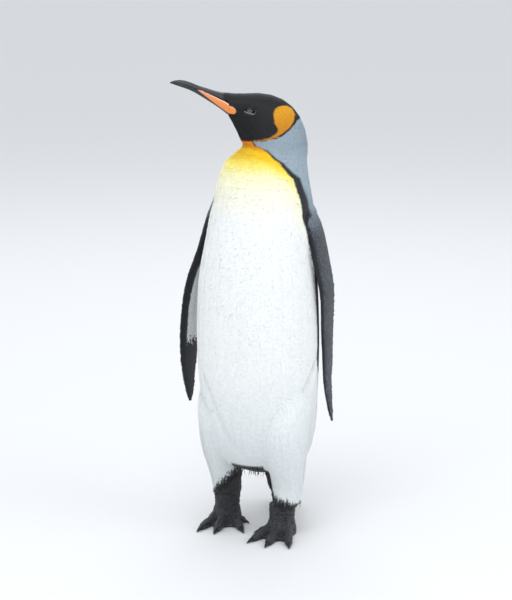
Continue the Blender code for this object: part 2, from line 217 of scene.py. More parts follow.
def head_place(points):
    """Reach forwards from the neck's middle, distance to the left, and height."""
    from_neck = points - np.array(NECK_MIDDLE)
    return from_neck @ np.array(HEAD_FRONT), from_neck @ np.array(HEAD_LEFT), points[:, 2]


def round_body(points):
    """Degrees round the body from straight in front, growing to its left, and the radius there."""
    height = points[:, 2]
    across = points[:, 0] - np.interp(height, levels, middles[:, 0])
    ahead = np.interp(height, levels, middles[:, 1]) - points[:, 1]
    return np.degrees(np.arctan2(across, ahead)), np.interp(height, levels, radii)


# %% [markdown]
# ## One skin
# A bird's skin runs on without a break from the face to the toes, so it is one mesh here. Joining
# the solids with Booleans would leave hard creases where they meet. Copies of them are swollen by a
# hair so that they overlap, and a voxel remesh then melts them into one even surface, which is
# smoothed and drawn in by the depth of the coat. Where the skin is bare, on the feet, it
# keeps its fine mesh, and under deep plumage it is thinned out.

# %% Flesh in one bmesh
FLESH = ("trunk", "neck", "head", "tail", "leg_left", "leg_right",
         "foot_left", "foot_right", "flipper_left", "flipper_right")
OVERLAP = 0.4 * MM
BILL_FEATHER_REACH = 101 * MM


def merged_copy(*names):
    """A bmesh of CAD nodes with their doubled corners merged."""
    copy = bmesh.new()
    for name in names:
        copy.from_mesh(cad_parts[name].data)
    bmesh.ops.remove_doubles(copy, verts=copy.verts, dist=0.01 * MM)
    copy.normal_update()
    return copy


def to_object(name, shape, *materials):
    """Ends a bmesh as a linked object with smooth faces."""
    mesh = bpy.data.meshes.new(name)
    for face in shape.faces:
        face.smooth = True
    shape.to_mesh(mesh)
    shape.free()
    for material in materials:
        mesh.materials.append(material)
    piece = bpy.data.objects.new(name, mesh)
    bpy.context.scene.collection.objects.link(piece)
    return piece


def cut_across(shape, place, direction, keep_front=False):
    """Cuts a closed shape by a plane and closes the cut."""
    whole = shape.verts[:] + shape.edges[:] + shape.faces[:]
    cut = bmesh.ops.bisect_plane(shape, geom=whole, plane_co=place, plane_no=direction,
                                 clear_outer=not keep_front, clear_inner=keep_front)
    rim = [part for part in cut["geom_cut"] if isinstance(part, bmesh.types.BMEdge)]
    bmesh.ops.holes_fill(shape, edges=rim)


body_form = merged_copy(*FLESH)
bill_root = merged_copy("bill_upper")
cut_across(bill_root, NECK_MIDDLE + HEAD_FRONT * BILL_FEATHER_REACH, HEAD_FRONT)
spare = bpy.data.meshes.new("bill_root")
bill_root.to_mesh(spare)
bill_root.free()
body_form.from_mesh(spare)
body_form.normal_update()
for corner in body_form.verts:
    corner.co += corner.normal * OVERLAP
flesh = to_object("flesh", body_form)
print("the flesh is", len(flesh.data.polygons), "triangles in", len(FLESH) + 1, "solids")


# %% [markdown]
# ## One skin from many solids
# A real bird has one skin. The solids could be joined with booleans, but those leave creases at
# each joint. A voxel remesh melts overlapping solids into one closed surface with even faces, and a
# few rounds of smoothing take its steps out.

# %% Melt and smooth
VOXEL = 1.9 * MM


def applied(piece):
    """The object's mesh with its modifiers applied, which are then removed."""
    depsgraph = bpy.context.evaluated_depsgraph_get()
    made = bpy.data.meshes.new_from_object(piece.evaluated_get(depsgraph), depsgraph=depsgraph)
    piece.modifiers.clear()
    piece.data = made
    return made


melt = flesh.modifiers.new("melt", "REMESH")
melt.mode = "VOXEL"
melt.voxel_size = VOXEL
soften = flesh.modifiers.new("soften", "SMOOTH")
soften.factor = 0.5
soften.iterations = 4
applied(flesh)
print("the melted skin has", len(flesh.data.polygons), "faces after", round(time.time() - START), "s")


# %% [markdown]
# The depth of the coat differs: about four millimetres over the trunk, under two on the head, one on
# the scale-like feathers of the flippers and none on the feet. A vertex learns what it belongs to by
# its distance from the solids, and the depth blends over the joins so that no step shows.

# %% Where the plumage of the legs ends
# Height of the border at each distance inwards from the middle of the ankle, in millimetres.
ANKLES = {"left": (82.8, 1, ((-45, 60), (-28, 69), (-12, 74), (4, 77), (13, 93), (24, 112))),
          "right": (-48.2, -1, ((-30, 65), (-19, 70), (0, 88), (14, 100), (30, 114)))}


def above_ankle(points):
    """Millimetres above the lower border of the leg's plumage."""
    left = points[:, 0] > (ANKLES["left"][0] + ANKLES["right"][0]) / 2 * MM
    border = np.zeros(len(points))
    for side, chosen in (("left", left), ("right", ~left)):
        middle, outwards, stops = ANKLES[side]
        inwards = (middle - points[:, 0] / MM) * outwards
        border[chosen] = np.interp(inwards, *zip(*stops))[chosen]
    return points[:, 2] / MM - border


# %% [markdown]
# ## How deep the plumage is
# The solids give the outline of the bird with its feathers on. The skin has to lie deeper by the
# thickness of the coat, which is thick on the body and a mere film on face and flippers. Each place
# gets its depth by its closeness to the solids of head, flippers, tail and feet.

# %% The depth of the coat
BODY_DEPTH = 4.0 * MM
HEAD_DEPTH = 1.6 * MM
FACE_DEPTH = 0.8 * MM
FLIPPER_DEPTH = 1.1 * MM
LEG_DEPTH = 3.2 * MM
TAIL_DEPTH = 5.0 * MM


def tree_of(*names):
    """A search tree over the faces of CAD nodes."""
    copy = merged_copy(*names)
    tree = BVHTree.FromBMesh(copy)
    copy.free()
    return tree


trees = {name: tree_of(name) for name in FLESH}


def closeness(points, name, reach):
    """1 on a CAD node's surface, falling to 0 at a distance of reach."""
    low, high = (np.array(corner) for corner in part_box(name))
    near = np.all((points > low - reach) & (points < high + reach), axis=1)
    share = np.zeros(len(points))
    for index in np.nonzero(near)[0]:
        found = trees[name].find_nearest(points[index], reach)
        if found[0] is not None:
            share[index] = 1 - found[3] / reach
    return share


def ramp(value, low, high):
    """0 below low, 1 above high, and a smooth step between."""
    share = np.clip((value - low) / (high - low), 0, 1)
    return share * share * (3 - 2 * share)


def vertex_array(mesh, what="co"):
    values = np.empty(len(mesh.vertices) * 3, np.float32)
    mesh.vertices.foreach_get(what, values)
    return values.reshape(-1, 3).astype(float)


def parts_at(points):
    """How much each point belongs to flipper, foot, leg, tail and head, each 0 to 1."""
    return {
        "flipper": np.maximum(*(ramp(closeness(points, "flipper_" + side, 8 * MM), 0.2, 0.8)
                                for side in ("left", "right"))),
        "foot": np.maximum(*(ramp(closeness(points, "foot_" + side, 6 * MM), 0.3, 0.9)
                             for side in ("left", "right"))),
        "tail": ramp(closeness(points, "tail", 10 * MM), 0.2, 0.9),
        "head": ramp(points[:, 2], NECK_TOP - 30 * MM, NECK_TOP + 12 * MM),
        "face": ramp(head_place(points)[0], 45 * MM, 85 * MM) * (points[:, 2] > NECK_TOP),
        "leg": ramp(-points[:, 2], -0.22, -0.13),
        "bare": np.where(points[:, 2] < 0.125, 1 - ramp(above_ankle(points), -16, -4), 0.0)
        * (1 - ramp(closeness(points, "tail", 10 * MM), 0.0, 0.5)),
    }


def coat_depth(points, parts):
    depth = np.full(len(points), BODY_DEPTH)
    for name, own in (("leg", LEG_DEPTH), ("head", HEAD_DEPTH), ("face", FACE_DEPTH), ("tail", TAIL_DEPTH),
                      ("flipper", FLIPPER_DEPTH), ("bare", 0.4 * MM), ("foot", 0.0)):
        depth += (own - depth) * parts[name]
    return depth


# %% [markdown]
# ## Soft joins
# Where neck, legs and flippers leave the trunk, feathers fill the corner. The same smoothing that
# took out the voxel steps does this, with many more rounds and a weight that limits it to the
# joins.

# %% Soft joins
JOIN_REACH = 22 * MM


def smoothed(piece, weights, iterations):
    """Smooths an object's mesh where the weights say so."""
    group = piece.vertex_groups.new(name="smooth_here")
    for step in range(1, 11):
        chosen = np.nonzero(np.round(weights * 10) == step)[0]
        group.add(chosen.tolist(), step / 10, "REPLACE")
    smooth = piece.modifiers.new("smooth", "SMOOTH")
    smooth.vertex_group = group.name
    smooth.factor = 0.6
    smooth.iterations = iterations
    applied(piece)
    piece.vertex_groups.clear()


places = vertex_array(flesh.data)
near_trunk = closeness(places, "trunk", JOIN_REACH)
thighs = np.maximum(closeness(places, "leg_left", JOIN_REACH), closeness(places, "leg_right", JOIN_REACH))
feet = np.maximum(closeness(places, "foot_left", 9 * MM), closeness(places, "foot_right", 9 * MM))
smoothed(flesh, ramp(np.minimum(near_trunk, thighs), 0.05, 0.5), 40)
ANKLE_REACH = 9 * MM
near_legs = (closeness(vertex_array(flesh.data), "leg_left", ANKLE_REACH)
             + closeness(vertex_array(flesh.data), "leg_right", ANKLE_REACH))
smoothed(flesh, ramp(np.minimum(near_legs, feet), 0.05, 0.4), 12)


# %% [markdown]
# Where the thighs press against the belly, the plumage sinks in a soft fold. Each fold is a
# line of a few points on the belly. The skin sinks along it by a small amount that fades out to both sides.

# %% Belly folds
FOLDS = {
    "right_thigh": ((-58, -105, 325), (-45, -114, 299), (-33, -118, 271), (-25, -118, 246),
                    (-15, -118, 224), (0, -116, 199), (18, -109, 175)),
    "left_thigh": ((138, -1, 357), (138, -26, 333), (134, -44, 307), (129, -58, 295), (122, -70, 280)),
}
FOLD_DEPTH = 3.2 * MM
FOLD_SPREAD = 8.5 * MM


def distance_to_line(points, line):
    """Distance to a line through several places, and the share of the line run there."""
    stops = np.array(line, float)
    distance = np.full(len(points), 1e9)
    run = np.zeros(len(points))
    for index, (first, second) in enumerate(zip(stops[:-1], stops[1:], strict=True)):
        side, own = second - first, points - first
        share = np.clip(own @ side / (side @ side), 0, 1)
        away = np.linalg.norm(own - share[:, None] * side, axis=1)
        run = np.where(away < distance, (index + share) / (len(stops) - 1), run)
        distance = np.minimum(distance, away)
    return distance, run


places = vertex_array(flesh.data)
sunk = np.zeros(len(places))
for line in FOLDS.values():
    away, run = distance_to_line(places, np.array(line) * MM)
    sunk += FOLD_DEPTH * np.exp(-(away / FOLD_SPREAD) ** 2) * np.sin(np.pi * np.clip(run, 0.02, 0.98)) ** 0.5
places = places - vertex_array(flesh.data, "normal") * sunk[:, None]
flesh.data.vertices.foreach_set("co", places.astype(np.float32).ravel())
flesh.data.update()


# %% [markdown]
# ## Drawing the skin in
# Every point of the melted surface moves inwards along its normal by the depth of the coat there.
# Moving points keeps the mesh closed, which cutting or scaling would not.

# %% Draw the skin in
parts = parts_at(places)
drawn_in = places - vertex_array(flesh.data, "normal") * coat_depth(places, parts)[:, None]
flesh.data.vertices.foreach_set("co", drawn_in.astype(np.float32).ravel())
flesh.data.update()
print("coat depths set after", round(time.time() - START), "s")


# %% [markdown]
# ## Thinning the hidden skin
# Skin under feathers is never seen, so it needs few faces. Decimate keeps the form and takes faces
# away where a vertex group lets it, and head and feet keep their fine mesh.

# %% Thin out the hidden skin
COVERED_SHARE = 0.16
bare = np.clip(parts["foot"] + parts["bare"] + parts["head"], 0, 1)
fine = flesh.vertex_groups.new(name="covered")
for weight in (0.0, 1.0):
    chosen = np.nonzero((bare < 0.5) == (weight == 1.0))[0]
    fine.add(chosen.tolist(), weight, "REPLACE")
thin = flesh.modifiers.new("thin", "DECIMATE")
thin.ratio = COVERED_SHARE
thin.vertex_group = "covered"
applied(flesh)
print("the skin has", len(flesh.data.polygons), "faces after", round(time.time() - START), "s")


# %% [markdown]
# ## An unwrap for the plumage
# Every feather later takes its place on a flat map of the skin, so that the colours of the whole
# coat can be kept as one picture. An unwrap made on the fine skin would fall apart into thousands of
# crumbs. A coarse, smooth copy of the skin unwraps into a few large islands, and a feather simply
# looks up the point of that copy nearest to its root.

# %% Coarse unwrap
UNWRAP_VOXEL = 9 * MM
form = flesh.copy()
form.data = flesh.data.copy()
bpy.context.scene.collection.objects.link(form)
rough = form.modifiers.new("rough", "REMESH")
rough.mode = "VOXEL"
rough.voxel_size = UNWRAP_VOXEL
even = form.modifiers.new("even", "SMOOTH")
even.iterations = 8
applied(form)
bpy.context.view_layer.objects.active = form
form.select_set(True)
bpy.ops.object.mode_set(mode="EDIT")
bpy.ops.mesh.select_all(action="SELECT")
bpy.ops.uv.smart_project(angle_limit=math.radians(66), island_margin=0.004)
bpy.ops.object.mode_set(mode="OBJECT")
unwrap = bmesh.new()
unwrap.from_mesh(form.data)
bmesh.ops.triangulate(unwrap, faces=unwrap.faces)
unwrap.faces.ensure_lookup_table()
unwrap_tree = BVHTree.FromBMesh(unwrap)
layer = unwrap.loops.layers.uv.active
unwrap_corners = np.array([[corner.vert.co for corner in face.loops] for face in unwrap.faces])
unwrap_places = np.array([[corner[layer].uv for corner in face.loops] for face in unwrap.faces])
unwrap.free()
bpy.data.objects.remove(form)
print("the unwrap has", len(unwrap_places), "triangles after", round(time.time() - START), "s")


def on_the_map(points):
    """Each point's place on the unwrap, from the nearest spot of the coarse skin."""
    nearest = [unwrap_tree.find_nearest(point) for point in points]
    spots = np.array([found[0] for found in nearest])
    faces = np.array([found[2] for found in nearest])
    first, second, third = (unwrap_corners[faces, corner] for corner in range(3))
    one, two, own = second - first, third - first, spots - first
    one_one, one_two, two_two = ((one * one).sum(1), (one * two).sum(1), (two * two).sum(1))
    own_one, own_two = (own * one).sum(1), (own * two).sum(1)
    area = one_one * two_two - one_two ** 2
    share_two = (two_two * own_one - one_two * own_two) / area
    share_three = (one_one * own_two - one_two * own_one) / area
    shares = np.stack((1 - share_two - share_three, share_two, share_three), axis=1)
    return (unwrap_places[faces] * np.clip(shares, 0, 1)[:, :, None]).sum(axis=1)


# %% [markdown]
# ## The markings
# A king penguin's colours are fields with crisp borders: a black hood, an orange patch behind the
# ear that runs out in a thin line under the hood, an orange throat that fades through gold to white,
# and a black stripe between the white front and the blue-grey back. They are worked out
# here once, as functions of place, and skin and feathers both use them, so they always agree.

# %% Palette
HOOD_BLACK = linear(22, 23, 26)
LID_GREY = linear(146, 136, 144)
EAR_ORANGE = linear(216, 150, 14)
EAR_AMBER = linear(198, 124, 6)
THROAT_ORANGE = linear(232, 138, 12)
THROAT_GOLD = linear(248, 200, 22)
THROAT_YELLOW = linear(250, 232, 104)
THROAT_CREAM = linear(248, 244, 196)
THROAT_PALE = linear(246, 246, 224)
FRONT_WHITE = linear(243, 246, 245)
# Painted shade: the white of the lower belly turns greyer towards its foot.
BELLY_PAINTED_SHADE = linear(228, 234, 235)
STRIPE_BLACK = linear(30, 32, 38)
NAPE_BLUE = linear(150, 166, 178)
SHOULDER_GREY = linear(116, 130, 143)
BACK_SLATE = linear(84, 95, 108)
RUMP_SLATE = linear(46, 50, 58)
WING_SLATE = linear(52, 56, 64)
ANKLE_BLACK = linear(30, 30, 32)
FOOT_BLACK = linear(46, 46, 49)


def blend(colours, other, share):
    return colours + (other - colours) * share[:, None]


def along_ramp(value, stops):
    """Colours between stops of (value, colour)."""
    keys = [stop[0] for stop in stops]
    return np.stack([np.interp(value, keys, [stop[1][part] for stop in stops]) for part in range(3)], axis=1)


# %% [markdown]
# ## Hood and ear patch
# Both are closed shapes with firm borders on the side of the head. A signed distance to an outline
# tells for any point how far inside it lies, so a border can be as crisp or as soft as wanted.

# %% Hood and ear patch
# Borders on the side of the head, as reach and height in millimetres.
HOOD_EDGE = ((-60, 798), (-46, 797), (-42, 795), (-38, 790), (-29, 781), (-15, 770),
             (-2, 764), (10, 762.5), (26, 758), (39, 757.5), (48, 757), (62, 755), (80, 757))
EAR_PATCH = ((-14, 823), (-5, 821.5), (1, 817), (3, 811), (3, 801), (1, 791), (-5, 782), (-3, 774),
             (10, 766), (26, 761), (44, 759), (26, 759), (10, 763.5), (-2, 766.5), (-14, 774),
             (-27, 784), (-34, 793), (-37.5, 806), (-31, 817), (-22, 822))


def outside_of(outline, across, height):
    """How far points lie outside a closed outline, in its own units. Inside is below zero."""
    corners = np.array(outline, float)
    points = np.stack((across, height), axis=1)
    distance = np.full(len(points), 1e9)
    inside = np.zeros(len(points), bool)
    for first, second in zip(corners, np.roll(corners, -1, axis=0), strict=True):
        side, own = second - first, points - first
        share = np.clip(own @ side / (side @ side), 0, 1)
        distance = np.minimum(distance, np.linalg.norm(own - share[:, None] * side, axis=1))
        crosses = (first[1] > points[:, 1]) != (second[1] > points[:, 1])
        rise = np.where(crosses, side[1], 1.0)
        inside ^= crosses & (points[:, 0] < first[0] + (points[:, 1] - first[1]) / rise * side[0])
    return np.where(inside, -distance, distance)


# %% [markdown]
# ## Outlines on the face
# The eye opening is an oval with a slant, and a formula gives it. The plate of the bill is a long
# drop, and a few points draw its upper and lower edge. Both are kept here, because feathers, lids
# and plate need the same lines.

# %% Eye opening and bill plate
# The gap between the lids, as millimetres forwards and up from the middle of the eye.
LID_HALF_LENGTH = 9.6
LID_UPPER, LID_LOWER = 3.5, 3.3
LID_SLANT = 0.185


def lid_gap(turn, outwards=0.0):
    """A point of the gap's edge, counter-clockwise by angle, moved outwards."""
    forwards = (LID_HALF_LENGTH + outwards) * math.cos(turn) - 0.3
    rise = LID_UPPER if math.sin(turn) > 0 else LID_LOWER
    up = (rise + outwards) * math.copysign(abs(math.sin(turn)) ** 0.9, math.sin(turn))
    return forwards, up + LID_SLANT * forwards - 0.4


LID_OUTLINE = [lid_gap(math.tau * step / 24) for step in range(24)]
PLATE_TOP = ((74.6, 812.5), (76, 817.2), (80, 821), (86, 824.6), (98.4, 831.8), (113, 838.2), (125.7, 843.8),
             (138.3, 849.5), (148, 852.2))
PLATE_FOOT = ((74.6, 812.0), (76, 808.4), (80, 806.4), (88.8, 807.4), (98.5, 813.8), (113.2, 824.2),
              (125.7, 833.7), (137.3, 842.8), (144.2, 848.0), (148, 851.8))
PLATE_OUTLINE = PLATE_TOP + PLATE_FOOT[::-1]


# %% [markdown]
# ## Throat, front and back
# The white front is a field that wraps round the trunk. Its border is easiest to give as an angle
# round the body at each height, and the stripe then follows it with its own width.

# %% Throat, front and back
# At each height: the direction of the bird's front in degrees, how far round the white reaches to
# each side of it, and how wide the black stripe behind it is in millimetres.
STRIPE_HEIGHT = (100, 160, 200, 280, 330, 400, 500, 546, 577, 617, 654, 690, 707, 720, 733, 745, 749, 760)
FRONT_ANGLE = (0, 0, -2, -3, -4, -4, -4, -4, -4, -4, -4, -8, -19, -33, -50, -66, -70, -70)
WHITE_REACH = (170, 150, 130, 112, 101, 100, 97, 93, 85, 75.5, 73, 71.5, 73.5, 77, 70, 61, 47, 42)
STRIPE_WIDTH = (8, 8, 8, 9, 10, 11, 14, 20, 24, 28, 27, 20, 13, 9, 5.5, 3.5, 3, 2.5)


def behind_white(points):
    """Millimetres round the body behind the edge of the white, and the stripe's width there."""
    angle, radius = round_body(points)
    height = points[:, 2] / MM
    turned = (angle - np.interp(height, STRIPE_HEIGHT, FRONT_ANGLE) + 180) % 360 - 180
    behind = np.radians(abs(turned) - np.interp(height, STRIPE_HEIGHT, WHITE_REACH)) * radius / MM
    return behind, np.interp(height, STRIPE_HEIGHT, STRIPE_WIDTH)


def body_colours(points):
    """Colours of head, neck, trunk and legs."""
    reach, across, height = (part / MM for part in head_place(points))
    behind, stripe = behind_white(points)
    beside = ramp(behind, -45, 0)
    drop = (755 - height) * (1 - 0.34 * beside)
    # Down the lower belly the white darkens to painted shade.
    front = along_ramp(drop, ((0, THROAT_ORANGE), (6, THROAT_ORANGE), (14, THROAT_GOLD), (24, THROAT_GOLD),
                              (38, THROAT_YELLOW), (58, THROAT_CREAM), (86, THROAT_PALE), (140, FRONT_WHITE),
                              (420, FRONT_WHITE), (560, BELLY_PAINTED_SHADE)))
    back = along_ramp(height, ((90, RUMP_SLATE), (330, BACK_SLATE), (540, BACK_SLATE), (600, SHOULDER_GREY),
                               (665, NAPE_BLUE)))
    back = blend(back, STRIPE_BLACK, 1 - ramp(behind, stripe * 0.8, stripe * 1.15 + 1.5))
    colours = blend(front, back, ramp(behind, -0.8, 0.8))
    hood = ramp(height - np.interp(reach, *zip(*HOOD_EDGE)), -0.5, 0.5)
    colours = blend(colours, HOOD_BLACK, hood)
    ear = 1 - ramp(outside_of(EAR_PATCH, reach, height), -0.5, 0.7)
    colours = blend(colours, along_ramp(height, ((765, EAR_AMBER), (815, EAR_ORANGE))), ear)
    ahead, up = reach - EYE_REACH / MM, height - left_eye.z / MM
    on_rim = 1 - ramp(abs(outside_of(LID_OUTLINE, ahead, up) - 0.5), 0.5, 1.1)
    below = ramp(LID_SLANT * ahead - 0.4 - up, 0.3, 1.4) * (abs(across) > 15)
    return blend(colours, LID_GREY, 0.85 * on_rim * below)


# %% [markdown]
# The flippers are slate outside with a thin pale trailing edge. Inside they are white, with
# a black leading edge and a black tip that starts in ragged speckles. Their colours are
# laid out in each flipper's own directions: down its length, and across it from the leading edge.

# %% Flipper directions
def flipper_frame(name):
    """The middle, length, chord and outward directions of a flipper, and its edges along it."""
    places = points_of(name)
    middle = places.mean(axis=0)
    length = np.linalg.svd(places - middle, full_matrices=False)[2][0]
    length *= -np.sign(length[2])
    chord = np.array((0, 1.0, 0)) - length * length[1]
    chord /= np.linalg.norm(chord)
    outward = np.cross(length, chord)
    outward *= np.sign(outward[0] * middle[0])
    down = (places - middle) @ length
    stations = np.linspace(down.min(), down.max(), 14)
    width = stations[1] - stations[0]
    chords = [((places - middle) @ chord)[abs(down - station) < width] for station in stations]
    return {"middle": middle, "length": length, "chord": chord, "outward": outward, "stations": stations,
            "lead": [near.min() for near in chords], "trail": [near.max() for near in chords]}


flipper_frames = {side: flipper_frame("flipper_" + side) for side in ("left", "right")}
TIP_START = 0.70
LEAD_BAND = 19.0


def flipper_colours(points, normals, side):
    own = flipper_frames[side]
    down = (points - own["middle"]) @ own["length"]
    chord = (points - own["middle"]) @ own["chord"]
    share = (down - own["stations"][0]) / np.ptp(own["stations"])
    from_lead = (chord - np.interp(down, own["stations"], own["lead"])) / MM
    from_trail = (np.interp(down, own["stations"], own["trail"]) - chord) / MM
    inner = ramp(-(normals @ own["outward"]), 0.0, 0.25)
    chance = np.random.default_rng(5).random(len(points))
    speckle = ramp(share + 0.045 * (chance - 0.5), TIP_START - 0.004, TIP_START + 0.004)
    white = inner * ramp(from_lead, LEAD_BAND - 1, LEAD_BAND + 1) * (1 - speckle)
    colours = blend(np.tile(SHOULDER_GREY, (len(points), 1)), WING_SLATE, ramp(share, -0.02, 0.12))
    colours = blend(colours, NAPE_BLUE, 0.22 * (chance > 0.8) * (1 - inner))
    colours = blend(colours, STRIPE_BLACK, np.clip(inner + ramp(-from_lead, -9, -4), 0, 1))
    colours = blend(colours, FRONT_WHITE, (1 - ramp(from_trail, 1.0, 3.0)) * (share < 0.8) * (share > 0.3))
    return blend(colours, FRONT_WHITE, white)


def plumage(points, normals, parts):
    """The colour of skin or feather at each point."""
    colours = body_colours(points)
    for side, sign in (("left", 1), ("right", -1)):
        share = parts["flipper"] * (points[:, 0] * sign > 0)
        chosen = share > 0
        colours[chosen] = blend(colours[chosen], flipper_colours(points[chosen], normals[chosen], side),
                                share[chosen])
    ragged = above_ankle(points) + 7 * np.sin(points[:, 0] * 900) * np.sin(points[:, 1] * 700)
    dark = np.where(points[:, 2] < 0.13, 1 - ramp(ragged, -3, 5), 0)
    vent = (1 - ramp(points[:, 2] / MM, 134, 140)) * ramp(points[:, 2] / MM, 100, 112) \
        * (abs(points[:, 0] / MM - 20) < 34) * (1 - parts["tail"])
    colours = blend(colours, ANKLE_BLACK, np.maximum(dark, vent))
    return blend(colours, FOOT_BLACK, np.maximum(parts["foot"], parts["bare"]))


# %% [markdown]
# ## Eyes and lids
# The eyeball is a glass-smooth ball that bulges a little over the iris. A round of skin closes over
# it as lids: a tube of rings, each a closed curve about the opening, the innermost resting on the
# ball and the outermost buried in the skin of the face. The lower lid carries a pale rim.

# %% Eyeballs
EYE_SIZE = EYE_RADIUS - 0.1 * MM
EYE_PROUD = 0.7 * MM
IRIS_BULGE = 0.15 * MM
SOCKET_RADII = (11.6 * MM, 14.0 * MM)
FACE_TREE = BVHTree.FromPolygons(vertex_array(flesh.data).tolist(),
                                 [list(face.vertices) for face in flesh.data.polygons])
IRIS_RADIUS = 4.4 * MM
PUPIL_RADIUS = 1.9 * MM


def own_place(piece, values, name="own"):
    """Keeps each vertex's place in a piece's own directions, for its material."""
    kept = piece.data.attributes.new(name, "FLOAT_VECTOR", "POINT")
    kept.data.foreach_set("vector", np.asarray(values, np.float32).ravel())


def eye_gloss():
    material, shader = principled("eye_gloss")
    tree = material.node_tree
    own = add(tree, "Attribute", {"attribute_name": "own"})
    flat = add(tree, "VectorMath", {"operation": "MULTIPLY"}, _0=own.outputs["Vector"], _1=(1, 1, 0))
    middle_distance = add(tree, "VectorMath", {"operation": "LENGTH"}, _0=flat.outputs[0])
    spokes = add(tree, "TexNoise", None, Vector=own.outputs["Vector"], Scale=1.6, Detail=3.0)
    iris = add(tree, "ValToRGB", None, Fac=spokes.outputs["Fac"])
    iris.color_ramp.elements[0].color = (*linear(48, 38, 32), 1)
    iris.color_ramp.elements[1].color = (*linear(112, 94, 80), 1)
    pupil = add(tree, "MapRange", None, _0=middle_distance.outputs["Value"],
                _1=PUPIL_RADIUS / MM - 0.2, _2=PUPIL_RADIUS / MM + 0.2)
    rim = add(tree, "MapRange", None, _0=middle_distance.outputs["Value"],
              _1=IRIS_RADIUS / MM - 0.5, _2=IRIS_RADIUS / MM + 0.1)
    inner = add(tree, "MixRGB", None, _0=pupil.outputs[0], _1=(0.004, 0.004, 0.005, 1), _2=iris.outputs[0])
    whole = add(tree, "MixRGB", None, _0=rim.outputs[0], _1=inner.outputs[0], _2=(0.008, 0.007, 0.008, 1))
    tree.links.new(whole.outputs[0], shader.inputs["Base Color"])
    shader.inputs["Roughness"].default_value = 0.12
    shader.inputs["Coat Weight"].default_value = 1.0
    shader.inputs["Coat Roughness"].default_value = 0.03
    return material


EYE_GLOSS = eye_gloss()


def face_level(middle, outwards):
    """The face round the eye as a smooth dome: depth over the middle, by place ahead and up."""
    rows, depths = [], []
    for radius in SOCKET_RADII:
        for step in range(24):
            turn = math.tau * step / 24
            ahead, up = radius * math.cos(turn), radius * math.sin(turn)
            base = middle + HEAD_FRONT * ahead + UP * up
            hit = FACE_TREE.ray_cast(base + outwards * 0.03, -outwards)[0]
            rows.append((1, ahead, up, ahead ** 2 + up ** 2))
            depths.append((hit - base).dot(outwards))
    fit = np.linalg.lstsq(np.array(rows), np.array(depths), rcond=None)[0]
    return lambda ahead, up: float(fit @ (1, ahead, up, ahead ** 2 + up ** 2))


def eyeball(side, outwards):
    """A ball whose pole looks outwards and just clears the face."""
    ball = bmesh.new()
    bmesh.ops.create_uvsphere(ball, u_segments=48, v_segments=40, radius=EYE_SIZE)
    for corner in ball.verts:
        if corner.co.z > 0:
            corner.co.z += IRIS_BULGE * max(0.0, 1 - (corner.co.xy.length / (IRIS_RADIUS * 1.25)) ** 2)
    places = [corner.co / MM for corner in ball.verts]
    middle = box_middle("eye_" + side)
    face = face_level(middle, outwards)
    sunk = face(0, 0) + EYE_PROUD - EYE_SIZE
    turn = outwards.to_track_quat("Z", "Y").to_matrix().to_4x4()
    bmesh.ops.transform(ball, matrix=Matrix.Translation(middle + outwards * sunk) @ turn, verts=ball.verts)
    piece = to_object("eyeball_" + side, ball, EYE_GLOSS)
    own_place(piece, places)
    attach(piece, "root")
    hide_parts("eye_" + side)
    return middle, sunk, face


# %% [markdown]
# ## Lids round the eyes
# Lids could be cut into the face, but a face mesh has its points in the wrong places for that. A
# tube of rings is simpler: each ring is worked out from the eyeball and the smooth face round it,
# and bridge_loops joins them.

# %% Lids
# Rings of the lid tube: share of the way from the gap to the round rim, height over the eyeball,
# height over the face, and how far the ring follows the face rather than the ball.
LID_RINGS = ((0.0, 0.05, -2.4, 0.0), (0.0, 0.7, -2.0, 0.0), (0.07, 1.1, -1.4, 0.0), (0.16, 1.1, -0.9, 0.15),
             (0.27, 0.5, -0.5, 0.6), (0.42, 0.5, 0.25, 1.0), (0.65, 0.5, 0.3, 1.0), (0.88, 0.5, 0.15, 1.0),
             (1.0, 0.0, -1.2, 1.0), (0.8, 0.0, -4.5, 1.0), (0.3, -1.5, -5.0, 0.3))
LID_SEGMENTS = 56
LID_RIM = 12.5


def lids(outwards, middle, sunk, face):
    """A closed tube of skin round the eye opening."""
    tube = bmesh.new()
    rings = []
    for share, over_ball, over_face, faceward in LID_RINGS:
        ring = bmesh.ops.create_circle(tube, segments=LID_SEGMENTS, radius=1.0)["verts"]
        for step, corner in enumerate(ring):
            turn = math.tau * step / LID_SEGMENTS
            ahead, up = lid_gap(turn)
            ahead = (ahead + (LID_RIM * math.cos(turn) - ahead) * share) * MM
            up = (up + (LID_RIM * math.sin(turn) - up) * share) * MM
            level = face(ahead, up)
            ball = sunk + math.sqrt(max(EYE_SIZE ** 2 - ahead ** 2 - up ** 2, 0.0)) + over_ball * MM
            ball = max(ball, level + min(over_face, -0.6) * MM)
            depth = ball + (level + over_face * MM - ball) * faceward
            corner.co = middle + HEAD_FRONT * ahead + UP * up + outwards * depth
        rings.append(sorted({edge for corner in ring for edge in corner.link_edges}, key=lambda e: e.index))
    for first, second in zip(rings, rings[1:] + rings[:1], strict=True):
        bmesh.ops.bridge_loops(tube, edges=first + second)
    bmesh.ops.recalc_face_normals(tube, faces=tube.faces)
    return tube


lid_forms = []
for side, outwards in (("left", HEAD_LEFT), ("right", -HEAD_LEFT)):
    lid_forms.append(lids(outwards, *eyeball(side, outwards)))
print("lids and eyeballs are made")


# %% [markdown]
# ## The bill
# The bill is a horn sheath, slim and slightly bent down at its tip. The solids give its shape. They
# are melted at half a millimetre to take the facets out, and then lengthwise grooves are
# pressed in with a function of place along and up the bill. The base dives under the feathers
# of the forehead, so horn and plumage meet as they do on the bird.

# %% Horn
HORN_VOXEL = 0.55 * MM
HORN_DIVE = (93 * MM, 99 * MM, 2.4 * MM)


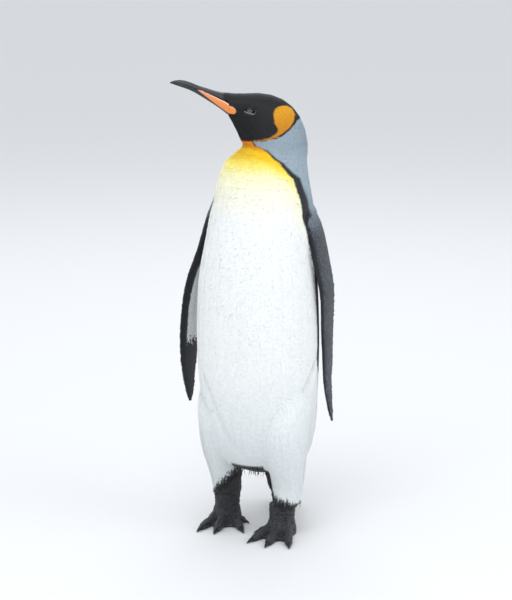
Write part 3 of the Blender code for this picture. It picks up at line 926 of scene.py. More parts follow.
def remelted(name, node, voxel, rounds):
    """A CAD node as an even mesh without facets."""
    piece = to_object(name, merged_copy(node))
    melt = piece.modifiers.new("melt", "REMESH")
    melt.mode = "VOXEL"
    melt.voxel_size = voxel
    soften = piece.modifiers.new("soften", "SMOOTH")
    soften.iterations = rounds
    applied(piece)
    for face in piece.data.polygons:
        face.use_smooth = True
    return piece


def bill_place(points, node):
    """Reach along the bill and share of its height there, 0 at its foot and 1 at its top."""
    reach, across, height = head_place(points)
    own_reach, _, own_height = head_place(points_of(node))
    stations = np.linspace(own_reach.min(), own_reach.max(), 9)
    width = stations[1] - stations[0]
    near = [own_height[abs(own_reach - station) < width * 0.75] for station in stations]
    low = np.interp(reach, stations, [part.min() for part in near])
    top = np.interp(reach, stations, [part.max() for part in near])
    return reach, (height - low) / np.maximum(top - low, 0.5 * MM)


def groove(share, middle, half_width):
    return np.exp(-((share - middle) / half_width) ** 2)


def horn_material():
    material, shader = principled("bill_horn")
    tree = material.node_tree
    own = add(tree, "Attribute", {"attribute_name": "own"})
    streak_place = add(tree, "VectorMath", {"operation": "MULTIPLY"}, _0=own.outputs["Vector"],
                       _1=(0.05, 1.1, 1.1))
    streaks = add(tree, "TexNoise", None, Vector=streak_place.outputs[0],
                  Scale=1.0, Detail=5.0, Roughness=0.6)
    colour = add(tree, "ValToRGB", None, Fac=streaks.outputs["Fac"])
    colour.color_ramp.elements[0].position = 0.35
    colour.color_ramp.elements[1].position = 0.75
    colour.color_ramp.elements[0].color = (*linear(16, 17, 20), 1)
    colour.color_ramp.elements[1].color = (*linear(58, 62, 66), 1)
    rough = add(tree, "MapRange", None, _0=streaks.outputs["Fac"], _3=0.28, _4=0.5)
    relief = add(tree, "Bump", None, Height=streaks.outputs["Fac"], Strength=0.5, Distance=0.0003)
    along = add(tree, "SeparateXYZ", _0=own.outputs["Vector"])
    base = add(tree, "MapRange", None, _0=along.outputs[0], _1=98.0, _2=138.0, _3=0.3, _4=1.0)
    darker = add(tree, "VectorMath", {"operation": "SCALE"},
                 _0=colour.outputs["Color"], Scale=base.outputs[0])
    tree.links.new(darker.outputs[0], shader.inputs["Base Color"])
    tree.links.new(rough.outputs[0], shader.inputs["Roughness"])
    tree.links.new(relief.outputs["Normal"], shader.inputs["Normal"])
    return material


BILL_HORN = horn_material()


def horn_piece(name, node, press):
    """A remelted bill half with its grooves pressed in."""
    piece = remelted(name, node, HORN_VOXEL, 3)
    places = vertex_array(piece.data)
    reach, share = bill_place(places, node)
    dive = HORN_DIVE[2] * (1 - ramp(reach, HORN_DIVE[0], HORN_DIVE[1]))
    if node == "bill_lower":
        dive = 0
    pressed = places - vertex_array(piece.data, "normal") * (press(reach / MM, share) * MM + dive)[:, None]
    piece.data.vertices.foreach_set("co", pressed.astype(np.float32).ravel())
    piece.data.materials.append(BILL_HORN)
    own_place(piece, np.stack(head_place(places), axis=1) / MM)
    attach(piece, "root")
    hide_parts(node)
    return piece


def upper_press(reach, share):
    """Nostril groove, edge groove and edge ridge of the upper bill, in millimetres."""
    nostril = 0.75 * groove(share, 0.50, 0.10) * ramp(reach, 92, 102) * (1 - ramp(reach, 146, 160))
    edge = 0.40 * groove(share, 0.24, 0.08) * ramp(reach, 110, 125)
    ridge = 0.35 * groove(share, 0.10, 0.07) * ramp(reach, 110, 125)
    return nostril + edge - ridge


def lower_press(reach, share):
    return 0.35 * groove(share, 0.55, 0.10) * ramp(reach, 140, 150) + 0.25 * groove(share, 0.85, 0.08)


horn_piece("bill_upper_horn", "bill_upper", upper_press)
horn_piece("bill_lower_horn", "bill_lower", lower_press)
print("the bill is made after", round(time.time() - START), "s")


# %% [markdown]
# ## The bill plate
# On each side of the lower bill lies a long drop-shaped plate of orange horn. It is a slab with a
# soft crown. A grid is laid over the side of bill and face with rays that look for the surface, its
# middle is raised, and solidify gives it body, with its rim just under the surface.

# %% Plates
PLATE_CROWN = 1.0 * MM
PLATE_RIM = 0.3 * MM
PLATE_RUNS, PLATE_ROWS = 72, 16
PLATE_BRIDGE = 16
bill_tree = tree_of("bill_upper", "bill_lower")


def plate_material():
    material, shader = principled("plate_horn")
    tree = material.node_tree
    own = add(tree, "Attribute", {"attribute_name": "own"})
    parts = add(tree, "SeparateXYZ", _0=own.outputs["Vector"])
    long_way = add(tree, "ValToRGB", None, Fac=parts.outputs[0])
    stops = long_way.color_ramp.elements
    stops[0].color = (*linear(232, 146, 52), 1)
    stops[1].color = (*linear(214, 128, 112), 1)
    middle = stops.new(0.35)
    middle.color = (*linear(238, 142, 70), 1)
    towards_tip = stops.new(0.75)
    towards_tip.color = (*linear(240, 150, 104), 1)
    rim = add(tree, "MapRange", None, _0=parts.outputs[1], _1=0.55, _2=0.98, _3=0.0, _4=0.85)
    pale = add(tree, "MixRGB", None, _0=rim.outputs[0], _1=long_way.outputs["Color"],
               _2=(*linear(252, 206, 188), 1))
    stretched = add(tree, "VectorMath", {"operation": "MULTIPLY"}, _0=own.outputs["Vector"], _1=(7, 5, 5))
    cloud = add(tree, "TexNoise", None, Vector=stretched.outputs[0], Scale=1.5, Detail=4.0)
    shade = add(tree, "MapRange", None, _0=cloud.outputs["Fac"], _3=0.86, _4=1.1)
    varied = add(tree, "VectorMath", {"operation": "SCALE"}, _0=pale.outputs[0], Scale=shade.outputs[0])
    tree.links.new(varied.outputs[0], shader.inputs["Base Color"])
    relief = add(tree, "Bump", None, Height=cloud.outputs["Fac"], Strength=0.15, Distance=0.0004)
    tree.links.new(relief.outputs["Normal"], shader.inputs["Normal"])
    shader.inputs["Roughness"].default_value = 0.38
    shader.inputs["Subsurface Weight"].default_value = 0.15
    shader.inputs["Subsurface Scale"].default_value = 0.002
    return material


PLATE_HORN = plate_material()


def plate_seat(side_way, reach, height):
    """How far outwards the bill or the face stands at a place of the plate."""
    level = Vector((NECK_MIDDLE.x, NECK_MIDDLE.y, 0)) + HEAD_FRONT * reach * MM + UP * height * MM
    hits = [tree.ray_cast(level + side_way * 0.06, -side_way)[0] for tree in (bill_tree, FACE_TREE)]
    return level, max([(place - level).dot(side_way) for place in hits if place] + [4 * MM])


def bill_plate(side, outwards):
    slab = bmesh.new()
    bmesh.ops.create_grid(slab, x_segments=PLATE_RUNS, y_segments=PLATE_ROWS, size=0.5)
    own, levels, seats = [], [], []
    near, far = PLATE_TOP[0][0], PLATE_TOP[-1][0]
    for corner in slab.verts:
        run, rise = corner.co.x + 0.5, corner.co.y * 2
        reach = near + (far - near) * (1 - math.cos(math.pi * run)) / 2
        low = np.interp(reach, *zip(*PLATE_FOOT))
        top = np.interp(reach, *zip(*PLATE_TOP))
        height = ((low + top) + (top - low) * rise) / 2
        level, seat = plate_seat(outwards, reach, height)
        own.append((run, rise, height * MM))
        levels.append(level)
        seats.append(seat)
    seats = np.array(seats).reshape(PLATE_ROWS + 1, PLATE_RUNS + 1)
    for _ in range(PLATE_BRIDGE):
        padded = np.pad(seats, ((0, 0), (1, 1)), mode="edge")
        seats = np.maximum(seats, (padded[:, :-2] + padded[:, 2:]) / 2)
        padded = np.pad(seats, 1, mode="edge")
        seats = (padded[:-2, 1:-1] + padded[2:, 1:-1] + padded[1:-1, :-2] + padded[1:-1, 2:]) / 4
    for corner, level, seat, (run, rise, _) in zip(slab.verts, levels, seats.ravel(), own, strict=True):
        ends = min(1.0, math.sin(math.pi * run) * 4)
        corner.co = level + outwards * (seat + PLATE_CROWN * (1 - rise ** 4) * ends - PLATE_RIM)
    bmesh.ops.smooth_vert(slab, verts=slab.verts, factor=0.3,
                          use_axis_x=True, use_axis_y=True, use_axis_z=True)
    bmesh.ops.recalc_face_normals(slab, faces=slab.faces)
    if slab.faces[len(slab.faces) // 2].normal.dot(outwards) < 0:
        bmesh.ops.reverse_faces(slab, faces=slab.faces)
    kept = slab.verts.layers.float_vector.new("own")
    for corner, place in zip(slab.verts, own, strict=True):
        corner[kept] = place
    bmesh.ops.solidify(slab, geom=slab.faces[:], thickness=1.4 * MM)
    bmesh.ops.remove_doubles(slab, verts=slab.verts, dist=0.02 * MM)
    piece = to_object("bill_plate_" + side, slab, PLATE_HORN)
    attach(piece, "root")


for side, outwards in (("left", HEAD_LEFT), ("right", -HEAD_LEFT)):
    bill_plate(side, outwards)


# %% [markdown]
# ## Claws
# Each claw keeps the solid's curved cone. Melting takes out its facets, and the same horn finish as
# the bill's gives it lengthwise streaks.

# %% Claws
for side in ("left", "right"):
    for toe in ("outer", "middle", "inner", "hind"):
        node = "claw_" + side + "_" + toe
        claw = remelted(node + "_horn", node, 0.6 * MM, 3)
        claw.data.materials.append(BILL_HORN)
        places = vertex_array(claw.data)
        own_place(claw, (places - places.mean(axis=0))[:, (1, 0, 2)] / MM)
        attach(claw, "root")
        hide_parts(node)


# %% [markdown]
# ## Feet
# Penguin feet are bare, with skin like a heap of small pebbles, broad scutes across the toes and
# deep creases where the foot bends. The skin is split finer there, and pebbles, scutes and creases
# are pressed into the mesh itself, because they show in the outline. The soles stay flat.

# %% Pebbles, scutes and creases
PEBBLE = 3.6 * MM
PEBBLE_RISE = 0.85 * MM
SCUTE = 4.6 * MM
CREASE_SIZE, CREASE_DEPTH = 13 * MM, 1.5 * MM
CREASES = (34.0, 30.0, 41.0)


def split_finer(piece, chosen_share):
    """Splits the faces whose vertices are chosen."""
    shape = bmesh.new()
    shape.from_mesh(piece.data)
    shape.verts.ensure_lookup_table()
    faces = [face for face in shape.faces if all(chosen_share[corner.index] > 0.4 for corner in face.verts)]
    edges = list({edge for face in faces for edge in face.edges})
    bmesh.ops.subdivide_edges(shape, edges=edges, cuts=1, use_grid_fill=True)
    bmesh.ops.triangulate(shape, faces=[face for face in shape.faces if len(face.verts) > 4])
    for face in shape.faces:
        face.smooth = True
    shape.to_mesh(piece.data)
    shape.free()


places = vertex_array(flesh.data)
parts = parts_at(places)
sole = vertex_array(flesh.data, "normal")[:, 2] < -0.7
split_finer(flesh, np.maximum(parts["foot"], parts["bare"]) * ~sole)
places = vertex_array(flesh.data)
normals = vertex_array(flesh.data, "normal")
parts = parts_at(places)
scaly = np.maximum(parts["foot"], parts["bare"])
chosen = np.nonzero(scaly > 0.02)[0]
pressed = np.zeros(len(places))
for index in chosen:
    near, _ = mathutils.noise.voronoi(Vector(places[index] / PEBBLE))
    pressed[index] = PEBBLE_RISE * (min(near[1] - near[0], 0.5) * 2 - 0.6)
    fold = abs(mathutils.noise.noise(Vector(places[index] * (1, 1, 1.6) / CREASE_SIZE)))
    pressed[index] -= CREASE_DEPTH * max(0.0, 1 - fold * 7)
tops = np.zeros(len(places))
for side in ("left", "right"):
    heel = box_middle("claw_" + side + "_hind")
    for toe in ("outer", "middle", "inner"):
        tip = box_middle("claw_" + side + "_" + toe)
        root = Vector((ANKLES[side][0] * MM, heel.y - 12 * MM, 12 * MM))
        away, run = distance_to_line(places, (root, tip))
        near_toe = (1 - ramp(away, 8 * MM, 12 * MM)) * ramp(normals[:, 2], 0.1, 0.5)
        wave = np.abs(np.sin(np.pi * run * (tip - root).length / SCUTE))
        pressed += near_toe * ramp(run, 0.3, 0.5) * 0.45 * MM * (wave ** 0.5 - 0.7)
for crease in CREASES:
    wander = 1.2 * np.sin(places[:, 0] * 210) + 0.8 * np.sin(places[:, 1] * 330)
    pressed -= 1.6 * MM * np.exp(-((places[:, 2] / MM - crease - wander) / 1.2) ** 2)
pressed *= scaly * ramp(places[:, 2], 1.0 * MM, 5 * MM)
places += normals * pressed[:, None]
flesh.data.vertices.foreach_set("co", places.astype(np.float32).ravel())
print("the feet are pebbled after", round(time.time() - START), "s")


# %% [markdown]
# ## Joining the lids to the skin
# Lids are skin too, so their rings go into the skin's own mesh. Their outer rings dip under the
# face, and feathers hide where the surfaces cross.

# %% One skin with its lids
whole_skin = bmesh.new()
whole_skin.from_mesh(flesh.data)
for lid in lid_forms:
    spare = bpy.data.meshes.new("lid")
    lid.to_mesh(spare)
    lid.free()
    whole_skin.from_mesh(spare)
for face in whole_skin.faces:
    face.smooth = True
whole_skin.to_mesh(flesh.data)
whole_skin.free()
flesh.name = "skin"


# %% [markdown]
# ## The feather
# One feather is a thin closed vane: a sphere with few sides, drawn out flat so that its poles become
# quill and tip. Sixteen triangles are enough, because a feather is seen at the size of a
# fingernail, and sixty thousand of them have to fit in memory. It is modelled once,
# and arrays then place all copies together in one mesh per region.

# %% One vane
def vane_template(sides, rings):
    """Corners (share along, share across, height) and triangles of a closed vane."""
    vane = bmesh.new()
    bmesh.ops.create_uvsphere(vane, u_segments=sides, v_segments=rings, radius=0.5)
    bmesh.ops.translate(vane, verts=vane.verts, vec=(0, 0, 0.5))
    bmesh.ops.triangulate(vane, faces=vane.faces)
    vane.verts.index_update()
    corners = np.array([(corner.co.z, corner.co.x, corner.co.y) for corner in vane.verts])
    faces = np.array([[corner.index for corner in face.verts] for face in vane.faces])
    vane.free()
    return corners, faces


VANE_CORNERS, VANE_FACES = vane_template(4, 3)
print("a vane has", len(VANE_CORNERS), "corners and", len(VANE_FACES), "triangles")


# %% [markdown]
# ## The finish of a feather
# A feather is a shaft with rows of fine barbs that slant away from it. Each vane keeps its own
# directions in an attribute, and a wave across them gives the barbs. One node group does this for
# every plumage, and each material adds its own gloss.

# %% Plumage material
def vane_surface():
    """Node group: barbs and shaft of a feather, from its own directions kept in an attribute."""
    group = bpy.data.node_groups.new("vane_surface", "ShaderNodeTree")
    for name, kind in (("Colour", "NodeSocketColor"), ("Pale tip", "NodeSocketFloat")):
        group.interface.new_socket(name, in_out="INPUT", socket_type=kind)
    for name, kind in (("Colour", "NodeSocketColor"), ("Height", "NodeSocketFloat")):
        group.interface.new_socket(name, in_out="OUTPUT", socket_type=kind)
    given = group.nodes.new("NodeGroupInput")
    made = group.nodes.new("NodeGroupOutput")
    vane = add(group, "Attribute", {"attribute_name": "vane"})
    parts = add(group, "SeparateXYZ", _0=vane.outputs["Vector"])
    along, across, chance = parts.outputs
    slant = add(group, "Math", {"operation": "ABSOLUTE"}, _0=across)
    barb_place = add(group, "Math", {"operation": "SUBTRACT"}, _0=along, _1=slant.outputs[0])
    barb_turns = add(group, "Math", {"operation": "MULTIPLY"}, _0=barb_place.outputs[0], _1=95.0)
    barbs = add(group, "Math", {"operation": "SINE"}, _0=barb_turns.outputs[0])
    value = add(group, "MapRange", None, _0=chance, _3=0.955, _4=1.03)
    tip = add(group, "MapRange", None, _0=along, _1=0.55, _2=1.0, _3=0.0, _4=1.0)
    tip_share = add(group, "Math", {"operation": "MULTIPLY"}, _0=tip.outputs[0], _1=given.outputs["Pale tip"])
    paler = add(group, "MixRGB", {"blend_type": "SCREEN"}, _0=tip_share.outputs[0],
                _1=given.outputs["Colour"], _2=given.outputs["Colour"])
    varied = add(group, "VectorMath", {"operation": "SCALE"}, _0=paler.outputs[0], Scale=value.outputs[0])
    group.links.new(varied.outputs[0], made.inputs["Colour"])
    group.links.new(barbs.outputs[0], made.inputs["Height"])
    return group


VANE_SURFACE = vane_surface()


def plumage_material(name, roughness, sheen, pale_tip):
    material, shader = principled(name)
    tree = material.node_tree
    colour = add(tree, "Attribute", {"attribute_name": "plumage"})
    surface = add(tree, "Group", {"node_tree": VANE_SURFACE},
                  Colour=colour.outputs["Color"], Pale_tip=pale_tip)
    relief = add(tree, "Bump", None, Height=surface.outputs["Height"], Strength=0.25, Distance=0.0002)
    tree.links.new(surface.outputs["Colour"], shader.inputs["Base Color"])
    tree.links.new(relief.outputs["Normal"], shader.inputs["Normal"])
    shader.inputs["Roughness"].default_value = roughness
    shader.inputs["Sheen Weight"].default_value = sheen
    shader.inputs["Sheen Roughness"].default_value = 0.5
    shader.inputs["Specular IOR Level"].default_value = 0.3
    return material


SOFT_PLUMAGE = plumage_material("soft_plumage", 0.7, 0.1, 0.0)
VELVET_PLUMAGE = plumage_material("velvet_plumage", 0.55, 0.0, 0.1)
SLATE_PLUMAGE = plumage_material("slate_plumage", 0.55, 0.05, 0.5)


# %% [markdown]
# ## Sowing the roots
# Real feathers stand in even quincunx rows, never in clumps. Random points alone would clump, so many
# are strewn over the skin and then thinned: a point is dropped when an earlier one is nearer than the
# spacing of that part of the body. What stays is even, and still has no visible rows.

# %% Strewing and thinning
skin_mesh = flesh.data
skin_mesh.calc_loop_triangles()
skin_places = vertex_array(skin_mesh)
skin_normals = vertex_array(skin_mesh, "normal")
triangles = np.empty(len(skin_mesh.loop_triangles) * 3, np.int32)
skin_mesh.loop_triangles.foreach_get("vertices", triangles)
triangles = triangles.reshape(-1, 3)
skin_tree = BVHTree.FromPolygons(skin_places.tolist(), triangles.tolist())

BODY_SPACING = 2.6 * MM
HEAD_SPACING = 1.85 * MM
FACE_SPACING = 1.35 * MM
FLIPPER_SPACING = 2.2 * MM
LEG_SPACING = 2.6 * MM
CANDIDATES = 5


def spacing_at(parts):
    spacing = np.full(len(parts["leg"]), BODY_SPACING)
    for name, own in (("leg", LEG_SPACING), ("head", HEAD_SPACING), ("face", FACE_SPACING),
                      ("flipper", FLIPPER_SPACING)):
        spacing += (own - spacing) * parts[name]
    return spacing


def strewn_roots():
    """Places and normals of evenly spread feather roots."""
    chance = np.random.default_rng(11)
    corners = skin_places[triangles]
    crossed = np.cross(corners[:, 1] - corners[:, 0], corners[:, 2] - corners[:, 0])
    areas = np.linalg.norm(crossed, axis=1) / 2
    middles_of_faces = corners.mean(axis=1)
    face_spacing = spacing_at(parts_at(middles_of_faces))
    wanted = areas / face_spacing ** 2 * CANDIDATES
    counts = np.floor(wanted + chance.random(len(wanted))).astype(int)
    faces = np.repeat(np.arange(len(areas)), counts)
    faces = faces[chance.permutation(len(faces))]
    one, two = chance.random(len(faces)), chance.random(len(faces))
    flip = one + two > 1
    one[flip], two[flip] = 1 - one[flip], 1 - two[flip]
    shares = np.stack((1 - one - two, one, two), axis=1)[:, :, None]
    places = (corners[faces] * shares).sum(axis=1)
    normals = (skin_normals[triangles[faces]] * shares).sum(axis=1)
    normals /= np.linalg.norm(normals, axis=1, keepdims=True)
    spacing = face_spacing[faces]
    search = KDTree(len(places))
    for index, place in enumerate(places):
        search.insert(place, index)
    search.balance()
    kept = np.ones(len(places), bool)
    for index in range(len(places)):
        if kept[index]:
            for _, other, _ in search.find_range(places[index], spacing[index]):
                if other > index:
                    kept[other] = False
    return places[kept], normals[kept]


root_places, root_normals = strewn_roots()
root_parts = parts_at(root_places)
print(len(root_places), "feathers are rooted after", round(time.time() - START), "s")


# %% [markdown]
# No feather may grow over the eye or through the plate of the bill, so the roots there are left out.

# %% Bare places of the face
def off_limits(points):
    """True on eyelids and bill plate."""
    reach, across, height = (part / MM for part in head_place(points))
    on_head = height > NECK_TOP / MM
    from_eye = outside_of(LID_OUTLINE, reach - EYE_REACH / MM, height - left_eye.z / MM)
    ahead_of_eye = outside_of(LID_OUTLINE, reach - EYE_REACH / MM - 2.2, height - left_eye.z / MM)
    on_lids = np.minimum(from_eye, ahead_of_eye) < 2.6
    on_plate = outside_of(PLATE_OUTLINE, reach, height) < 0.4
    return on_head & ((on_lids & (abs(across) > 15)) | on_plate)


# %% [markdown]
# ## The lie of the plumage
# Feathers lie back from the bill over the head, turn down at the nape, and run straight down body
# and legs. On a flipper they lie along its length. The lie is worked out at every root as a
# direction in the surface.

# %% Directions
def in_surface(directions, normals):
    flat = directions - (directions * normals).sum(axis=1, keepdims=True) * normals
    return flat / np.maximum(np.linalg.norm(flat, axis=1, keepdims=True), 1e-9)


def lie_at(points, normals, parts):
    reach, across, height = head_place(points)
    directions = np.tile(np.array((0, 0, -1.0)), (len(points), 1))
    facing = ramp(height + reach * 0.45, 0.750, 0.815)
    directions += (-np.array(HEAD_FRONT) + (0, 0, 0.35) - directions) * facing[:, None]
    for side, sign in (("left", 1), ("right", -1)):
        own = flipper_frames[side]
        share = parts["flipper"] * (points[:, 0] * sign > 0)
        directions = blend(directions, own["length"] + 0.1 * own["chord"], share)
    return in_surface(directions, normals)


def with_sway(directions, normals, degrees, seed):
    """Turns each direction a little at random within the surface."""
    sway = np.radians(np.random.default_rng(seed).normal(0, degrees, len(directions)))[:, None]
    return directions * np.cos(sway) + np.cross(normals, directions) * np.sin(sway)


# %% [markdown]
# ## Laying feathers
# Particle hair would be quick, but it isn't a mesh. Here arrays do the same work: each root gets a
# length, a width and a way to lie, its tip is put back over the skin, and all corners of all vanes
# are worked out at once.

# %% Laying feathers
LENGTHS = {"body": 12.5, "leg": 10.0, "head": 5.4, "face": 3.0, "flipper": 5.0}
WIDTHS = {"body": 6.6, "leg": 5.2, "head": 2.5, "face": 1.7, "flipper": 3.0}
VANE_THICKNESS = 0.12 * MM
PATCH = 0.003


def size_at(parts, table):
    size = np.full(len(parts["leg"]), table["body"] * MM)
    for name in ("leg", "head", "face", "flipper"):
        size += (table[name] * MM - size) * parts[name]
    return size


def coat(name, chosen, material, seed, crisp=True):
    """A piece of plumage: one vane on each chosen root. A crisp one takes its colours corner by corner."""
    places, normals = root_places[chosen], root_normals[chosen]
    own_parts = {part: values[chosen] for part, values in root_parts.items()}
    chance = np.random.default_rng(seed)
    count = len(places)
    lie = with_sway(lie_at(places, normals, own_parts), normals, 5, seed)
    length = size_at(own_parts, LENGTHS) * chance.uniform(0.82, 1.15, count)
    width = size_at(own_parts, WIDTHS) * chance.uniform(0.85, 1.12, count)
    depth = coat_depth(places, own_parts) * chance.uniform(0.97, 1.01, count)
    ends = [skin_tree.find_nearest(end) for end in places + lie * length[:, None]]
    tips = np.array([end[0] for end in ends])
    tip_normals = np.array([end[1] for end in ends])
    reached = tips - places
    side = np.cross(normals, reached)
    side /= np.maximum(np.linalg.norm(side, axis=1, keepdims=True), 1e-9)
    arch = np.linalg.norm(tip_normals - normals, axis=1) * length / 8
    bent = ((tip_normals * reached).sum(axis=1) - (normals * reached).sum(axis=1)) > 0
    arch = np.where(bent, arch, -arch)
    corners = np.empty((count, len(VANE_CORNERS), 3))
    for index, (along, across, thick) in enumerate(VANE_CORNERS):
        normal = normals * (1 - along) + tip_normals * along
        rise = depth * (1 - (1 - along) ** 2.4) - 0.3 * MM * (1 - along)
        rise += 4 * along * (1 - along) * arch + thick * VANE_THICKNESS
        rise -= abs(across) * width * 0.06
        corners[:, index] = places + reached * along + side * (across * width * 1.1)[:, None]
        corners[:, index] += normal * rise[:, None]
    if crisp:
        each = {part: np.repeat(values, len(VANE_CORNERS)) for part, values in own_parts.items()}
        colours = plumage(corners.reshape(-1, 3), np.repeat(tip_normals, len(VANE_CORNERS), axis=0), each)
    else:
        colours = plumage(places + reached * 0.75, tip_normals, own_parts)
        colours = np.repeat(colours, len(VANE_CORNERS), axis=0)
    calm = 0.12 if material is SOFT_PLUMAGE else 0.6
    rounding = VANE_CORNERS[:, 1] * 0.55 * calm
    facing = (normals[:, None] * (1 - VANE_CORNERS[:, :1]) + tip_normals[:, None] * VANE_CORNERS[:, :1]
              + side[:, None] * rounding[:, None] + lie[:, None] * (VANE_CORNERS[:, :1] - 0.5) * 0.3 * calm)
    facing /= np.linalg.norm(facing, axis=2, keepdims=True)
    vane = np.stack((np.tile(VANE_CORNERS[:, 0], (count, 1)), np.tile(VANE_CORNERS[:, 1], (count, 1)),
                     np.repeat(chance.random(count)[:, None], len(VANE_CORNERS), axis=1)), axis=2)
    patch = on_the_map(places)[:, None, :] + (VANE_CORNERS[:, (1, 0)] - (0, 0.5)) * PATCH
    return feather_mesh(name, corners, facing, colours, vane, patch, VANE_FACES, material)


def feather_mesh(name, corners, facing, colours, vane, patch, template, material):
    """Joins feathers of one template in a mesh with their colours, own directions and map places."""
    count, size = corners.shape[:2]
    faces = (template[None] + np.arange(count)[:, None, None] * size).reshape(-1, 3)
    mesh = bpy.data.meshes.new(name)
    mesh.vertices.add(count * size)
    mesh.vertices.foreach_set("co", corners.astype(np.float32).ravel())
    mesh.loops.add(faces.size)
    mesh.loops.foreach_set("vertex_index", faces.astype(np.int32).ravel())
    mesh.polygons.add(len(faces))
    mesh.polygons.foreach_set("loop_start", np.arange(0, faces.size, 3, dtype=np.int32))
    mesh.polygons.foreach_set("use_smooth", np.ones(len(faces), bool))
    mesh.update(calc_edges=True)
    tint = mesh.attributes.new("plumage", "FLOAT_COLOR", "POINT")
    shown = np.concatenate((colours, np.ones((len(colours), 1))), axis=1)
    tint.data.foreach_set("color", shown.astype(np.float32).ravel())
    own = mesh.attributes.new("vane", "FLOAT_VECTOR", "POINT")
    own.data.foreach_set("vector", vane.astype(np.float32).ravel())
    uv = mesh.uv_layers.new(name="OFBake")
    uv.data.foreach_set("uv", patch.reshape(-1, 2)[faces.ravel()].astype(np.float32).ravel())
    mesh.normals_split_custom_set_from_vertices(facing.reshape(-1, 3).astype(np.float32))
    mesh.materials.append(material)
    piece = bpy.data.objects.new(name, mesh)
    bpy.context.scene.collection.objects.link(piece)
    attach(piece, "root")
    print(name, "has", count, "feathers and", len(faces), "triangles")
    return piece


# %% [markdown]
# ## The coat in pieces
# One mesh for the whole coat would be too large to handle. It is split by region, along borders
# where the plumage changes anyway: hood, neck, breast, belly, legs, back, rump and flippers.

# %% Coat pieces
height = root_places[:, 2]
behind = behind_white(root_places)[0]
on_flipper = root_parts["flipper"] > 0.5
on_foot = (root_parts["foot"] > 0.35) | (root_parts["bare"] > 0.7) | (root_parts["tail"] > 0.85)
on_body = ~on_flipper & ~on_foot & ~off_limits(root_places)
SHOULDERS, BREAST_FOOT, BELLY_FOOT, BACK_FOOT = 0.655, 0.46, 0.26, 0.36
in_front = on_body & (behind < 0) & (height <= SHOULDERS)
at_back = on_body & (behind >= 0) & (height <= SHOULDERS)
hooded = height > NECK_TOP + 6 * MM
regions = {
    "coat_head": (on_body & hooded, VELVET_PLUMAGE, "black_plumage"),
    "coat_neck": (on_body & ~hooded & (height > SHOULDERS), SOFT_PLUMAGE, "grey_plumage"),
    "coat_breast": (in_front & (height > BREAST_FOOT), SOFT_PLUMAGE, "white_plumage"),
    "coat_belly": (in_front & (height <= BREAST_FOOT) & (height > BELLY_FOOT), SOFT_PLUMAGE, "white_plumage"),
    "coat_legs": (in_front & (height <= BELLY_FOOT), SOFT_PLUMAGE, "white_plumage"),
    "coat_back": (at_back & (height > BACK_FOOT), SOFT_PLUMAGE, "slate_plumage"),
    "coat_rump": (at_back & (height <= BACK_FOOT), SOFT_PLUMAGE, "slate_plumage"),
    "coat_flipper_left": (on_flipper & (root_places[:, 0] > 0), SLATE_PLUMAGE, "slate_plumage"),
    "coat_flipper_right": (on_flipper & (root_places[:, 0] < 0), SLATE_PLUMAGE, "slate_plumage"),
}
for seed, (name, (chosen, material, slot)) in enumerate(regions.items()):
    coat(name, chosen, material, seed + 21, crisp="flipper" not in name)
print("the coat is laid after", round(time.time() - START), "s")


# %% [markdown]
# ## Tail and hanging tufts
# The tail is a fan of stiff pointed feathers, each a long thin vane with a raised shaft. They root in
# the rump and end on the line of the tail's solid. Above the feet the plumage ends in loose dark
# tufts, which are the same vane made narrow, and a fringe of longer ones hangs under the belly.

# %% Tail feathers
QUILL_CORNERS, QUILL_FACES = vane_template(6, 9)
TAIL_ROOT = Vector((0.024, 0.088, 0.128))
TAIL_TIPS = 13
TAIL_SPREAD = 21 * MM
QUILL_BROWN = linear(148, 130, 84)


def loose_vanes(name, roots, tips, widths, colours, raise_by, bow, material, template):
    """Vanes from given roots to given tips, flat side towards the given directions."""
    corners_of, faces_of = template
    count = len(roots)
    along, across, thick = corners_of.T
    reached = tips - roots
    side = np.cross(raise_by, reached)
    side /= np.maximum(np.linalg.norm(side, axis=1, keepdims=True), 1e-9)
    outline = np.sign(across) * np.abs(across) ** 0.8 * (1.25 - 0.6 * along)
    rise = bow[:, None] * 4 * (along * (1 - along))[None] + thick[None] * 1.0 * MM * (1 - 0.7 * along)[None]
    corners = (roots[:, None] + reached[:, None] * along[None, :, None]
               + side[:, None] * (outline[None] * widths[:, None])[..., None]
               + raise_by[:, None] * rise[..., None])
    facing = raise_by[:, None] * np.sign(thick + 0.01)[None, :, None] + side[:, None] * across[None, :, None]
    facing = facing / np.linalg.norm(facing, axis=2, keepdims=True)
    order = np.random.default_rng(count).random(count)
    vane = np.stack((np.tile(along, (count, 1)), np.tile(across, (count, 1)),
                     np.repeat(order[:, None], len(along), axis=1)), axis=2)
    patch = on_the_map(roots)[:, None, :] + (corners_of[:, (1, 0)] - (0, 0.5)) * PATCH
    return feather_mesh(name, corners, facing, colours, vane, patch, faces_of, material)


tail_low, tail_high = (Vector(corner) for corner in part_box("tail"))
roots, tips, widths, colours, flats = [], [], [], [], []
for layer, reach in enumerate((1.0, 0.86, 0.62)):
    for step in range(TAIL_TIPS):
        share = (step + 0.5 * (layer % 2)) / (TAIL_TIPS - 1) * 2 - 1
        if abs(share) > 1:
            continue
        root = TAIL_ROOT + Vector((share * 12 * MM, 4 * MM * layer, 2 * MM * layer))
        end = Vector((TAIL_ROOT.x + share * TAIL_SPREAD, tail_high.y - 4 * MM - abs(share) ** 2 * 16 * MM,
                      tail_low.z + 5 * MM + abs(share) ** 2 * 12 * MM))
        end = root + (end - root) * reach
        roots.append(root)
        tips.append(end)
        widths.append((10 - 2 * abs(share)) * MM)
        flats.append(Vector((share * 0.5, 0.8, 0.45)).normalized())
        colours += [RUMP_SLATE + (QUILL_BROWN - RUMP_SLATE) * min(1, abs(corner[1]) * 2) ** 3 * 0.8
                    for corner in QUILL_CORNERS]
